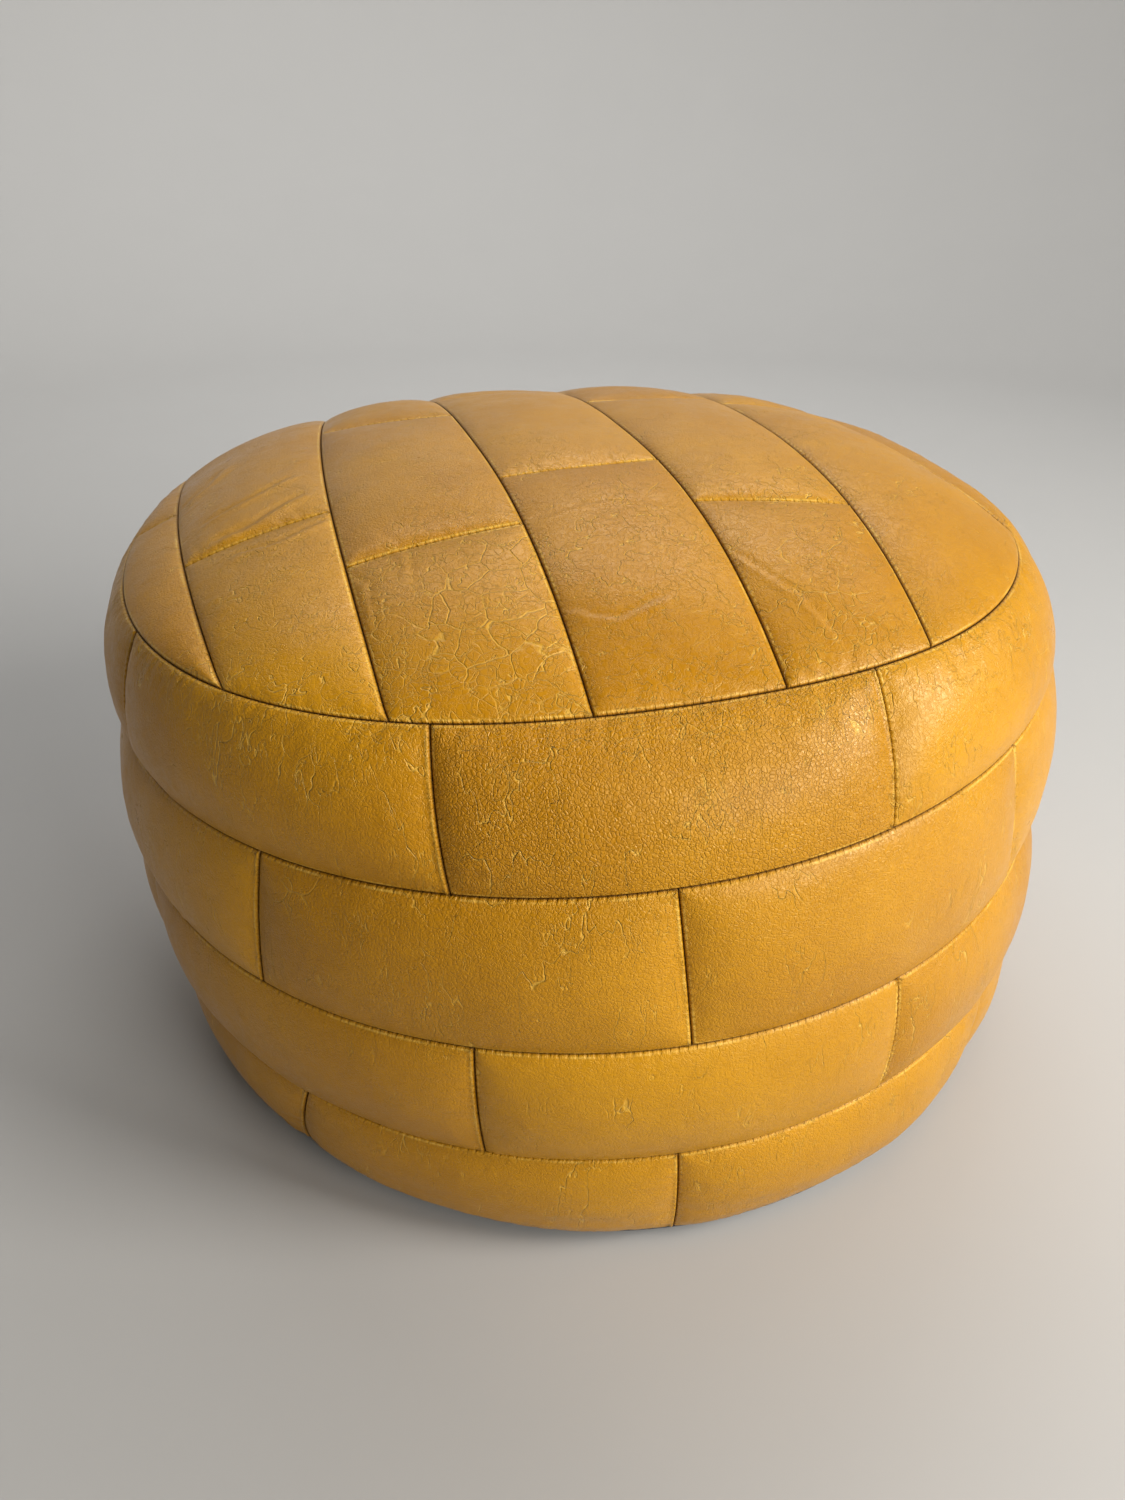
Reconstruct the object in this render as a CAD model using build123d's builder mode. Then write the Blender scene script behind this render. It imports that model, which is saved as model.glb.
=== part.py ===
"""Round patchwork leather pouf: sewn leather cover, base cloth with a zip, liner bag and filling.

Millimetres, +Z up. The origin is the centre of the footprint, on the floor. The front is -Y.
"""
import math
import os

from build123d import *

# ---- Cover -------------------------------------------------------------------------------------
body_radius = 254.0        # at the seam between the second and third bands, the widest seam
base_tuck = 12.0           # each seam stands this far inside body_radius
lower_tuck = 2.0
upper_tuck = 4.0
shoulder_tuck = 30.0
band_width = 78.0          # finished width of a leather strip in the side
top_band_loss = 15.0       # height that each band loses by leaning and puffing, top to bottom
upper_band_loss = 1.0
lower_band_loss = 3.0
base_band_loss = 11.0
band_bulge = 5.0           # how far a band puffs out beyond the chord between its seams
crown_rise = 42.0          # the middle of the top above the top seam
leather = 2.0

patches_per_band = 8
first_side_seam = 10.0     # degrees, in the lowest band; every second band is half a patch round

strip_width = 76.0         # finished width of a leather strip in the top
strip_turn = 18.0          # degrees from +X to the direction across the strips
top_patch_length = 172.0
shortest_top_patch = 50.0  # a cross seam is left out nearer to the rim than this
# The rearmost cross seam of each strip, left to right, measured forward from the centre line
first_cross_seams = (-28.0, 53.0, -66.0, -116.0, -62.0, -50.0, None)

# ---- Base cloth --------------------------------------------------------------------------------
base_seam_height = 8.0
base_cloth = 4.0           # canvas bonded to felt
base_flat_margin = 10.0    # the flat underside ends this far inside the base seam
zip_fly = 14.0             # width of the slot between the halves, over the zip
zip_fly_overrun = 28.0     # the slot runs past the teeth at each end, so the pull tab clears it

# ---- Zip, lying along X ------------------------------------------------------------------------
zip_length = 360.0
tape_thickness = 0.6
tape_width = 15.0
tape_past_fly = 6.0        # the tapes run on past the ends of the slot
teeth_width = 2.3
teeth_thickness = 2.4
teeth_gap = 1.6            # between the rows, where the slider's web passes
stop_length = 4.0
stop_thickness = 3.2

slider_length = 11.0
slider_plate = 1.0
slider_lip = 0.8
slider_clearance = 0.2     # between the slider and the teeth
lip_clearance = 0.3        # between the slider's lips and the tape
web_width = 1.2
web_length = 5.0

bridge_length = 7.6        # the arch on the slider that holds the pull tab
bridge_width = 1.6
bridge_post = 0.8
bridge_bar = 0.6
tab_length = 27.0
tab_width = 5.0
tab_thickness = 0.9
tab_clearance = 0.1        # between the tab's cross pin and the arch or plate
tab_eye_length = 5.2
tab_eye_width = 2.4
tab_hole_radius = 1.1

# ---- Liner and filling -------------------------------------------------------------------------
liner = 0.6

# ---- Derived places ----------------------------------------------------------------------------
tucks = (base_tuck, lower_tuck, 0.0, upper_tuck, shoulder_tuck)
seam_radii = [body_radius - tuck for tuck in tucks]
seam_heights = [base_seam_height]
for loss in (base_band_loss, lower_band_loss, upper_band_loss, top_band_loss):
    seam_heights.append(seam_heights[-1] + band_width - loss)
top_radius = seam_radii[-1]
top_seam_height = seam_heights[-1]
crown_height = top_seam_height + crown_rise
base_edge = seam_radii[0]
base_flat = base_edge - base_flat_margin
band_count = len(seam_radii) - 1
patch_angle = 360.0 / patches_per_band

half_zip = zip_length / 2
fly_length = zip_length + 2 * zip_fly_overrun
teeth_edge = teeth_gap / 2 + teeth_width
zip_height = base_cloth + tape_thickness / 2
plate_gap = teeth_thickness / 2 + slider_clearance
lip_inner = teeth_edge + lip_clearance
slider_half_width = lip_inner + slider_lip
slider_low = zip_height - plate_gap - slider_plate
slider_rest = half_zip - slider_length / 2 - lip_clearance
tab_axis_height = slider_low - tab_thickness / 2 - tab_clearance
bridge_low = tab_axis_height - tab_thickness / 2 - tab_clearance - bridge_bar


def band_side(index: int, inset: float):
    """Draw one band's outer line, moved inward, from its lower seam to its upper one."""
    low = (seam_radii[index] - inset, seam_heights[index])
    high = (seam_radii[index + 1] - inset, seam_heights[index + 1])
    chord = Vector(high[0] - low[0], high[1] - low[1])
    out = Vector(chord.Y, -chord.X).normalized() * band_bulge
    middle = ((low[0] + high[0]) / 2 + out.X, (low[1] + high[1]) / 2 + out.Y)
    ThreePointArc(low, middle, high)


def crown_side(inset: float):
    """Draw the top's outer line, moved inward, from the top seam to the axis."""
    rim = top_radius - inset
    rise = crown_rise - inset
    sphere = (rim**2 + rise**2) / (2 * rise)
    half_turn = math.asin(rim / sphere) / 2
    middle = (sphere * math.sin(half_turn), crown_height - inset - sphere * (1 - math.cos(half_turn)))
    ThreePointArc((rim, top_seam_height), middle, (0, crown_height - inset))


def half_outline(inset: float, mode: Mode = Mode.ADD):
    """Make one face of the whole cover's half section, moved inward, down to the base seam."""
    with BuildLine() as outline:
        for band in range(band_count):
            band_side(band, inset)
        crown_side(inset)
        Polyline(
            (0, crown_height - inset), (0, base_seam_height),
            (base_edge - inset, base_seam_height),
        )
    make_face(outline.edges(), mode=mode)


def write(part: Part, label: str):
    """Name a finished piece and write it as its own file."""
    part.label = label
    export_step(part, f"parts/{label}.step")


os.makedirs("parts", exist_ok=True)

# Side patches: each is a puffed length of its band, butted to its neighbours at the seams
for row in range(1, band_count + 1):
    band = band_count - row
    row_start = first_side_seam + (patch_angle / 2 if band % 2 else 0.0)
    for number in range(1, patches_per_band + 1):
        start = row_start + (number - 1) * patch_angle
        with BuildPart() as side_patch:
            with BuildSketch(Plane.XZ.rotated((0, 0, start))) as band_section:
                with BuildLine():
                    band_side(band, 0.0)
                    band_side(band, leather)
                    for end in (band, band + 1):
                        edge = seam_radii[end]
                        Line((edge - leather, seam_heights[end]), (edge, seam_heights[end]))
                make_face()
            revolve(axis=Axis.Z, revolution_arc=patch_angle)
        write(side_patch.part, f"side_patch_{row}_{number}")

# Top patches: the crown is cut into parallel strips, and each strip across into patches
strip_count = len(first_cross_seams)
with BuildPart() as crown:
    with BuildSketch(Plane.XZ) as crown_section:
        with BuildLine():
            crown_side(0.0)
            crown_side(leather)
            Line((0, crown_height - leather), (0, crown_height))
            Line((top_radius - leather, top_seam_height), (top_radius, top_seam_height))
        make_face()
    revolve(axis=Axis.Z)

for strip, first_cross in enumerate(first_cross_seams, start=1):
    across = (strip - (strip_count + 1) / 2) * strip_width
    outermost = strip in (1, strip_count)
    reach = math.sqrt(max(top_radius**2 - across**2, 0.0))
    cuts = [-2 * top_radius]
    cross = first_cross
    while cross is not None and (cross < reach - shortest_top_patch or cross == first_cross):
        cuts.append(cross)
        cross += top_patch_length
    cuts.append(2 * top_radius)
    # An outermost strip takes all that is left of the crown on its side
    spare = 2 * top_radius if outermost else 0.0
    centre = across + math.copysign(spare / 2, across) if outermost else across
    for number, (rear, front) in enumerate(zip(cuts, cuts[1:]), start=1):
        strip_plane = Plane.XY.rotated((0, 0, strip_turn))
        with BuildPart() as top_patch:
            add(crown.part)
            with BuildSketch(strip_plane) as patch_outline:
                with Locations((centre, -(rear + front) / 2)):
                    Rectangle(strip_width + spare, front - rear)
            extrude(amount=2 * crown_height, mode=Mode.INTERSECT)
        write(top_patch.part, f"top_patch_{strip}_{number}")

# Base cloth: a shallow dish in two halves that meet beyond the ends of the zip
for name, side in (("base_cloth_front", -1), ("base_cloth_rear", 1)):
    with BuildPart() as base_half:
        with BuildSketch(Plane.XZ) as base_section:
            with BuildLine():
                Polyline(
                    (0, 0), (base_flat, 0), (base_edge, base_seam_height),
                    (base_edge - leather, base_seam_height), (base_flat - leather, base_cloth),
                    (0, base_cloth), close=True,
                )
            make_face()
        revolve(axis=Axis.Z)
        split(bisect_by=Plane.XZ, keep=Keep.BOTTOM if side > 0 else Keep.TOP)
        with BuildSketch(Plane.XY) as fly:
            Rectangle(fly_length, zip_fly)
        extrude(amount=2 * base_cloth, mode=Mode.SUBTRACT)
    write(base_half.part, name)

# Zip tapes, rows of teeth and end stops
for name, side in (("front", -1), ("rear", 1)):
    with BuildPart() as zip_tape:
        with BuildSketch(Plane.XY.offset(base_cloth)) as tape_outline:
            with Locations((0, side * (teeth_edge + tape_width / 2))):
                Rectangle(fly_length + 2 * tape_past_fly, tape_width)
        extrude(amount=tape_thickness)
    write(zip_tape.part, f"zip_tape_{name}")

    with BuildPart() as zip_teeth:
        with BuildSketch(Plane.XY.offset(zip_height - teeth_thickness / 2)) as teeth_outline:
            with Locations((0, side * (teeth_edge - teeth_width / 2))):
                Rectangle(zip_length, teeth_width)
        extrude(amount=teeth_thickness)
    write(zip_teeth.part, f"zip_teeth_{name}")

with BuildPart() as zip_stops:
    with BuildSketch(Plane.XY.offset(zip_height - stop_thickness / 2)) as stop_outlines:
        with Locations((-half_zip - stop_length / 2, 0)):
            Rectangle(stop_length, 2 * teeth_edge)
        with Locations(*[
            (half_zip + stop_length / 2, side * (teeth_edge - teeth_width / 2)) for side in (-1, 1)
        ]):
            Rectangle(stop_length, teeth_width)
    extrude(amount=stop_thickness)
write(zip_stops.part, "zip_stops")

# Slider: two plates joined by a web, with lips that guide it along the teeth and an arch below
with BuildPart() as zip_slider:
    for face, sign in ((zip_height - plate_gap, -1), (zip_height + plate_gap, 1)):
        with BuildSketch(Plane.XY.offset(face)) as plate_outline:
            with Locations((slider_rest, 0)):
                RectangleRounded(slider_length, 2 * slider_half_width, slider_lip)
        extrude(amount=sign * slider_plate)
        lip_height = plate_gap - tape_thickness / 2 - lip_clearance
        with BuildSketch(Plane.XY.offset(face)) as lip_outlines:
            with Locations(*[
                (slider_rest, side * (slider_half_width - slider_lip / 2)) for side in (-1, 1)
            ]):
                Rectangle(slider_length - 2 * slider_lip, slider_lip)
        extrude(amount=-sign * lip_height)
    with BuildSketch(Plane.XY.offset(zip_height - plate_gap)) as web_outline:
        with Locations((slider_rest, 0)):
            SlotOverall(web_length, web_width)
    extrude(amount=2 * plate_gap)
    with BuildSketch(Plane.XY.offset(slider_low)) as post_outlines:
        with Locations(*[
            (slider_rest + end * (bridge_length - bridge_post) / 2, 0) for end in (-1, 1)
        ]):
            Rectangle(bridge_post, bridge_width)
    extrude(amount=bridge_low - slider_low)
    with BuildSketch(Plane.XY.offset(bridge_low)) as bar_outline:
        with Locations((slider_rest, 0)):
            Rectangle(bridge_length, bridge_width)
    extrude(amount=bridge_bar)
write(zip_slider.part, "zip_slider")

# Pull tab: a flat tongue that turns on its own cross pin under the slider's arch
with BuildPart() as zip_pull_tab:
    with BuildSketch(Plane.XY.offset(tab_axis_height - tab_thickness / 2)) as tab_outline:
        with Locations((slider_rest - tab_length / 2, 0)):
            Rectangle(tab_length, tab_width)
        with Locations((slider_rest - tab_eye_length / 2, 0)):
            Rectangle(tab_eye_length, tab_eye_width, mode=Mode.SUBTRACT)
        with Locations((slider_rest - tab_length + tab_width / 2, 0)):
            Circle(tab_hole_radius, mode=Mode.SUBTRACT)
    extrude(amount=tab_thickness)
    far_corners = zip_pull_tab.edges().filter_by(Axis.Z).group_by(Axis.X)[0]
    fillet(far_corners, tab_width / 3)
    with BuildSketch(Plane.XZ.offset(-tab_width / 2)) as pin_section:
        with Locations((slider_rest, tab_axis_height)):
            Circle(tab_thickness / 2)
    extrude(amount=tab_width)
write(zip_pull_tab.part, "zip_pull_tab")

# Liner bag: the top with the wall, and the base; the filling is what they hold
with BuildPart() as liner_cover:
    with BuildSketch(Plane.XZ) as liner_section:
        half_outline(leather)
        half_outline(leather + liner, Mode.SUBTRACT)
    revolve(axis=Axis.Z)
write(liner_cover.part, "liner_cover")

for name, kept in (("liner_base", Keep.BOTTOM), ("filling", Keep.TOP)):
    with BuildPart() as bag_content:
        with BuildSketch(Plane.XZ) as content_section:
            half_outline(leather + liner)
        revolve(axis=Axis.Z)
        split(bisect_by=Plane.XY.offset(base_seam_height + liner), keep=kept)
    write(bag_content.part, name)
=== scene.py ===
"""A round leather pouf: a cover of sewn leather patches, puffed out by its filling, on a zipped base.

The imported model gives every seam's height, radius and place. The real pouf has slumped a little, so
its seams lean and wander, and each patch swells between them under pressure in a cloth simulation.
"""

import logging
import math
from dataclasses import dataclass, field
from enum import Enum

import bmesh
import bpy
import numpy as np
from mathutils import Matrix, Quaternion, Vector


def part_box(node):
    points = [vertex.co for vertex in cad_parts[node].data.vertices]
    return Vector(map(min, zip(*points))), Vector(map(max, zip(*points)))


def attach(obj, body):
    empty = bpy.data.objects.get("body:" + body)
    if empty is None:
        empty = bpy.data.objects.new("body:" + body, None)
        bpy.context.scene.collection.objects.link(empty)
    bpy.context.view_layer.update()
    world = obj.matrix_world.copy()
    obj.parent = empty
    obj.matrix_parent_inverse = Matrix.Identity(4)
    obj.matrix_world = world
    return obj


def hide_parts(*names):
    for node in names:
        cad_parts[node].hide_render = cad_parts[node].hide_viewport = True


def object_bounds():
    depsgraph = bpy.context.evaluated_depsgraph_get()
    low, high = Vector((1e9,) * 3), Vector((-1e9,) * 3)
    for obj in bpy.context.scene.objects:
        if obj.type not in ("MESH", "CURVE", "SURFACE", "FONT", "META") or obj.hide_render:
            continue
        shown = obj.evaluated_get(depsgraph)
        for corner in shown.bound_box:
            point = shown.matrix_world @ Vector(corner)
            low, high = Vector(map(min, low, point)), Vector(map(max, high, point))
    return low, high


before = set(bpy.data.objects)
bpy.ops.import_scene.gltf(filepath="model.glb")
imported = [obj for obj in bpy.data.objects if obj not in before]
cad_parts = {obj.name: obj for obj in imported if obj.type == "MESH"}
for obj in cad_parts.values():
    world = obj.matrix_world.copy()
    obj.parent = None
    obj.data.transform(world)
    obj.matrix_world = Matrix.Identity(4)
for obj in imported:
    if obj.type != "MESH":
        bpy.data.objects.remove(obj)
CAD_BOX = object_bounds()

log = logging.getLogger("pouf")

MM = 0.001
POUF_BODY = "pouf"
STITCH_PITCH = 3.8 * MM


# ---- Small helpers -----------------------------------------------------------------------------
def smooth(value: np.ndarray) -> np.ndarray:
    """Ease values from 0 to 1 with no slope at either end."""
    held = np.clip(value, 0.0, 1.0)
    return held * held * (3.0 - 2.0 * held)


def node_points(node: str) -> np.ndarray:
    """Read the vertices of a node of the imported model.

    Args:
        node: The node's name.

    Returns:
        Points in metres, one row each.
    """
    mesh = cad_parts[node].data
    flat = np.zeros(len(mesh.vertices) * 3, np.float32)
    mesh.vertices.foreach_get("co", flat)
    return flat.reshape(-1, 3).astype(float)


def make_object(name: str, points: np.ndarray, faces: list,
                material: bpy.types.Material | None) -> bpy.types.Object:
    """Make a smooth shaded mesh object at the origin.

    Args:
        name: The object's name.
        points: Vertices in metres.
        faces: Vertex indices of each face.
        material: The finish, or None.

    Returns:
        The new object, in the scene.
    """
    mesh = bpy.data.meshes.new(name)
    mesh.from_pydata(np.asarray(points, float).tolist(), [], [list(map(int, f)) for f in faces])
    mesh.update()
    mesh.polygons.foreach_set("use_smooth", [True] * len(mesh.polygons))
    piece = bpy.data.objects.new(name, mesh)
    bpy.context.scene.collection.objects.link(piece)
    if material is not None:
        mesh.materials.append(material)
    return piece


def point_values(piece: bpy.types.Object, name: str, values: np.ndarray) -> None:
    """Store one number per vertex as a named attribute."""
    layer = piece.data.attributes.new(name, "FLOAT", "POINT")
    layer.data.foreach_set("value", np.ascontiguousarray(values, np.float32).ravel())


@dataclass(frozen=True)
class ValueNoise:
    """Smooth seeded noise from a lattice of random numbers.

    Attributes:
        seed: Chooses the lattice.
        size: Lattice points per side before it repeats.
    """

    seed: int
    size: int = 32

    def lattice(self) -> np.ndarray:
        """Return the random lattice, from -1 to 1."""
        return np.random.default_rng(self.seed).uniform(-1.0, 1.0, (self.size,) * 3)

    def at(self, points: np.ndarray) -> np.ndarray:
        """Read the noise.

        Args:
            points: Places in lattice steps, with three numbers in the last axis.

        Returns:
            Noise from about -1 to 1, one number per place.
        """
        table = self.lattice()
        cell = np.floor(points).astype(int)
        part = smooth(points - cell)
        total = np.zeros(points.shape[:-1])
        for corner in np.ndindex(2, 2, 2):
            weight = np.ones(points.shape[:-1])
            index = []
            for axis in range(3):
                weight = weight * (part[..., axis] if corner[axis] else 1.0 - part[..., axis])
                index.append((cell[..., axis] + corner[axis]) % self.size)
            total += weight * table[tuple(index)]
        return total


def resample_weights(count: int, params: np.ndarray) -> np.ndarray:
    """Weights that read a row of evenly spaced points at other places, through a smooth curve.

    Args:
        count: Number of points in the row.
        params: Places from 0 to 1 along the row.

    Returns:
        A matrix with one row per place and one column per point.
    """
    place = np.clip(params, 0.0, 1.0) * (count - 1)
    base = np.minimum(np.floor(place).astype(int), count - 2)
    f = place - base
    blend = np.stack([
        -0.5 * f + f**2 - 0.5 * f**3, 1.0 - 2.5 * f**2 + 1.5 * f**3,
        0.5 * f + 2.0 * f**2 - 1.5 * f**3, -0.5 * f**2 + 0.5 * f**3,
    ])
    weights = np.zeros((len(params), count + 2))
    rows = np.arange(len(params))
    for step in range(4):
        weights[rows, base + step] += blend[step]
    # The points before the first and after the last continue the row in a straight line
    weights[:, 1] += 2.0 * weights[:, 0]
    weights[:, 2] -= weights[:, 0]
    weights[:, -2] += 2.0 * weights[:, -1]
    weights[:, -3] -= weights[:, -1]
    return weights[:, 1:-1]


def graded_params(length: float, step: float, edge_steps: tuple[float, ...]) -> np.ndarray:
    """Places along a patch: close together at its edges and evenly spaced between.

    Args:
        length: The patch's length in metres.
        step: Spacing in the middle, in metres.
        edge_steps: Distances from an edge that get a place of their own, in metres.

    Returns:
        Rising numbers from 0 to 1.
    """
    edge = np.array(edge_steps) / length
    middle = np.linspace(edge[-1], 1.0 - edge[-1], max(3, round((length - 2 * edge_steps[-1]) / step)))
    return np.concatenate([edge[:-1], middle, (1.0 - edge[:-1])[::-1]])


def grid_normals(grid: np.ndarray) -> np.ndarray:
    """Unit normals of a grid of points, on the side where its first axis turns to its second."""
    along = np.gradient(grid, axis=0)
    across = np.gradient(grid, axis=1)
    normal = np.cross(along, across)
    return normal / np.maximum(np.linalg.norm(normal, axis=-1, keepdims=True), 1e-12)


def run_lengths(grid: np.ndarray, axis: int) -> tuple[np.ndarray, np.ndarray]:
    """Distance of each grid point along its row, and the distance left to the row's end."""
    steps = np.linalg.norm(np.diff(grid, axis=axis), axis=-1)
    start = np.zeros_like(np.take(steps, [0], axis=axis))
    run = np.cumsum(np.concatenate([start, steps], axis=axis), axis=axis)
    return run, np.take(run, [-1], axis=axis) - run


def grid_faces(rows: int, columns: int, first: int = 0, flip: bool = False) -> np.ndarray:
    """Quads of a grid of rows by columns points, numbered from first."""
    index = first + np.arange(rows * columns).reshape(rows, columns)
    quads = np.stack([index[:-1, :-1], index[1:, :-1], index[1:, 1:], index[:-1, 1:]], -1).reshape(-1, 4)
    return quads[:, ::-1] if flip else quads


def border(rows: int, columns: int) -> np.ndarray:
    """Indices round the edge of a grid, in order and without repeats."""
    index = np.arange(rows * columns).reshape(rows, columns)
    return np.concatenate([index[:-1, 0], index[-1, :-1], index[:0:-1, -1], index[0, :0:-1]])


# ---- Finishes ----------------------------------------------------------------------------------
class Tree:
    """Builds a node tree in a few words.

    Attributes:
        tree: The node tree that nodes are added to.
    """

    def __init__(self, tree: bpy.types.NodeTree) -> None:
        """Start adding nodes to a tree."""
        self.tree = tree

    def add(self, kind: str, inputs: dict | None = None, **settings: object) -> bpy.types.Node:
        """Add a node.

        Args:
            kind: The node's Blender type.
            inputs: Values or sockets for its inputs, by name or number.
            settings: Properties of the node.

        Returns:
            The new node.
        """
        node = self.tree.nodes.new(kind)
        for name, value in settings.items():
            setattr(node, name, value)
        for name, value in (inputs or {}).items():
            if isinstance(value, bpy.types.NodeSocket):
                self.tree.links.new(value, node.inputs[name])
            else:
                node.inputs[name].default_value = value
        return node

    def math(self, operation: str, *values: object, clamp: bool = False) -> bpy.types.NodeSocket:
        """Add a Math node and return its result."""
        return self.add("ShaderNodeMath", dict(enumerate(values)), operation=operation,
                        use_clamp=clamp).outputs[0]

    def span(self, value: object, low: float, high: float, to_low: float = 0.0, to_high: float = 1.0,
             kind: str = "SMOOTHSTEP") -> bpy.types.NodeSocket:
        """Map a number from one range to another, held at the ends."""
        return self.add("ShaderNodeMapRange", {0: value, 1: low, 2: high, 3: to_low, 4: to_high},
                        interpolation_type=kind).outputs[0]

    def mix(self, factor: object, first: object, second: object,
            blend: str = "MIX") -> bpy.types.NodeSocket:
        """Mix two colours and return the result."""
        return self.add("ShaderNodeMix", {0: factor, 6: first, 7: second}, data_type="RGBA",
                        blend_type=blend).outputs[2]

    def vector(self, operation: str, inputs: dict) -> bpy.types.NodeSocket:
        """Add a Vector Math node and return its vector."""
        return self.add("ShaderNodeVectorMath", inputs, operation=operation).outputs[0]

    def wire(self, node: bpy.types.Node, sockets: dict) -> None:
        """Link sockets to a node's inputs, by name."""
        for name, value in sockets.items():
            self.tree.links.new(value, node.inputs[name])

    def noise(self, where: object, scale: float, detail: float = 3.0,
              roughness: float = 0.5) -> bpy.types.NodeSocket:
        """Add a Noise Texture and return its number."""
        inputs = {"Vector": where, "Scale": scale, "Detail": detail, "Roughness": roughness}
        return self.add("ShaderNodeTexNoise", inputs).outputs[0]

    def bump(self, height: object, distance: float, strength: float = 1.0,
             normal: object = None) -> bpy.types.NodeSocket:
        """Add a Bump node and return its normal. Distance is the relief's height in metres."""
        inputs = {"Height": height, "Distance": distance, "Strength": strength}
        if normal is not None:
            inputs["Normal"] = normal
        return self.add("ShaderNodeBump", inputs).outputs[0]


def new_material(name: str) -> tuple[bpy.types.Material, Tree, bpy.types.Node]:
    """Make a material with one Principled shader.

    Args:
        name: The material's name.

    Returns:
        The material, a builder for its tree, and the shader.
    """
    material = bpy.data.materials.new(name)
    material.use_nodes = True
    material.node_tree.nodes.clear()
    tree = Tree(material.node_tree)
    shader = tree.add("ShaderNodeBsdfPrincipled")
    tree.add("ShaderNodeOutputMaterial", {"Surface": shader.outputs[0]})
    return material, tree, shader


@dataclass(frozen=True)
class LeatherFinish:
    """Waxed vegetable-tanned leather with a pebbled grain, creases, painted shade in its seams and rubbed wax
    with a painted highlight on the seams' lips.

    Attributes:
        light: Colour of the palest patches.
        deep: Colour of the darkest patches.
        seam_shade: Painted shade: the near-black colour painted where the leather turns in at a seam, where
            shadow falls.
        gloss: Tint of its waxy shine.
        rubbed: Colour of the wax that has lifted on ridges and creases, also painted along the seams' lips as
            a painted highlight.
    """

    light: tuple[float, float, float, float] = (0.560, 0.262, 0.005, 1.0)
    deep: tuple[float, float, float, float] = (0.370, 0.150, 0.001, 1.0)
    seam_shade: tuple[float, float, float, float] = (0.085, 0.030, 0.002, 1.0)
    gloss: tuple[float, float, float, float] = (1.0, 0.86, 0.52, 1.0)
    rubbed: tuple[float, float, float, float] = (0.82, 0.52, 0.09, 1.0)

    def build(self) -> bpy.types.Material:
        """Build the material."""
        material, tree, shader = new_material("cover_leather")
        place = tree.add("ShaderNodeTexCoord").outputs["Object"]
        tone, seam, along, wear, grain = (
            tree.add("ShaderNodeAttribute", attribute_name=name).outputs["Fac"]
            for name in ("tone", "seam", "along", "wear", "grain")
        )
        warp = self.shifted(tree, place, 70.0, 7.0 * MM)
        creases = self.creases(tree, warp, wear)

        # Colour: each patch has its own tone, and dye and wax lie unevenly over it
        cloud = tree.noise(place, 9.0, 4.0, 0.55)
        fleck = tree.noise(place, 260.0, 3.0, 0.6)
        shade = tree.math("ADD", tree.span(cloud, 0.3, 0.72, -0.2, 0.2), tone)
        shade = tree.math("ADD", shade, tree.span(fleck, 0.3, 0.7, -0.07, 0.07), clamp=True)
        colour = tree.mix(shade, self.deep, self.light)
        colour = tree.mix(tree.math("MULTIPLY", creases, 0.42), colour, self.rubbed)
        near_seam = tree.span(seam, 0.1, 0.75, 1.0, 0.0)
        # Rubbed wax and painted highlight: a broken pale line is painted along each seam's lip, 0.8 to 2.2 mm
        # from the edge.
        lip = tree.math("MULTIPLY", tree.span(seam, 0.8, 1.2), tree.span(seam, 2.2, 1.4))
        lip = tree.math("MULTIPLY", lip, tree.span(tree.noise(place, 55.0, 3.0), 0.4, 0.65, 0.1, 0.55))
        colour = tree.mix(lip, colour, self.rubbed)
        # Painted shade: the leather is painted near black within about 0.75 mm of each seam, where shadow
        # falls between two patches.
        colour = tree.mix(tree.math("MULTIPLY", near_seam, 0.94), colour, self.seam_shade)

        # Relief: a pebbled grain, finer wrinkles over it, and stitch holes that pinch the seam
        fine_warp = self.shifted(tree, place, 260.0, 1.6 * MM)
        pebble = tree.add("ShaderNodeTexVoronoi", {"Vector": fine_warp, "Scale": 580.0},
                          feature="DISTANCE_TO_EDGE").outputs["Distance"]
        pebble = tree.math("MULTIPLY", tree.span(pebble, 0.0, 0.2), grain)
        fine = tree.noise(place, 1300.0, 3.0, 0.6)
        wrinkle = tree.math("ABSOLUTE", tree.math("SUBTRACT", tree.noise(warp, 330.0, 4.0, 0.6), 0.5))
        wrinkle = tree.span(wrinkle, 0.0, 0.06)
        holes = tree.math("SINE", tree.math("MULTIPLY", along, 2.0 * math.pi / STITCH_PITCH))
        holes = tree.math("MULTIPLY", tree.span(holes, 0.1, 0.9), tree.span(seam, 0.5, 2.6, 1.0, 0.0))
        normal = tree.bump(pebble, 0.2 * MM)
        normal = tree.bump(wrinkle, 0.09 * MM, normal=normal)
        normal = tree.bump(fine, 0.06 * MM, normal=normal)
        normal = tree.bump(creases, -0.4 * MM, normal=normal)
        normal = tree.bump(holes, -0.3 * MM, normal=normal)

        rough = tree.span(tree.noise(place, 34.0, 4.0, 0.6), 0.3, 0.7, 0.27, 0.4)
        rough = tree.math("ADD", rough, tree.math("MULTIPLY", tree.span(fleck, 0.35, 0.7), 0.07))
        rough = tree.math("ADD", rough, tree.math("MULTIPLY", near_seam, 0.3), clamp=True)
        tree.wire(shader, {"Base Color": colour, "Roughness": rough, "Normal": normal})
        shader.inputs["Specular IOR Level"].default_value = 0.42
        shader.inputs["Specular Tint"].default_value = self.gloss
        shader.inputs["Coat Weight"].default_value = 0.09
        shader.inputs["Coat Roughness"].default_value = 0.28
        return material

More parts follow.
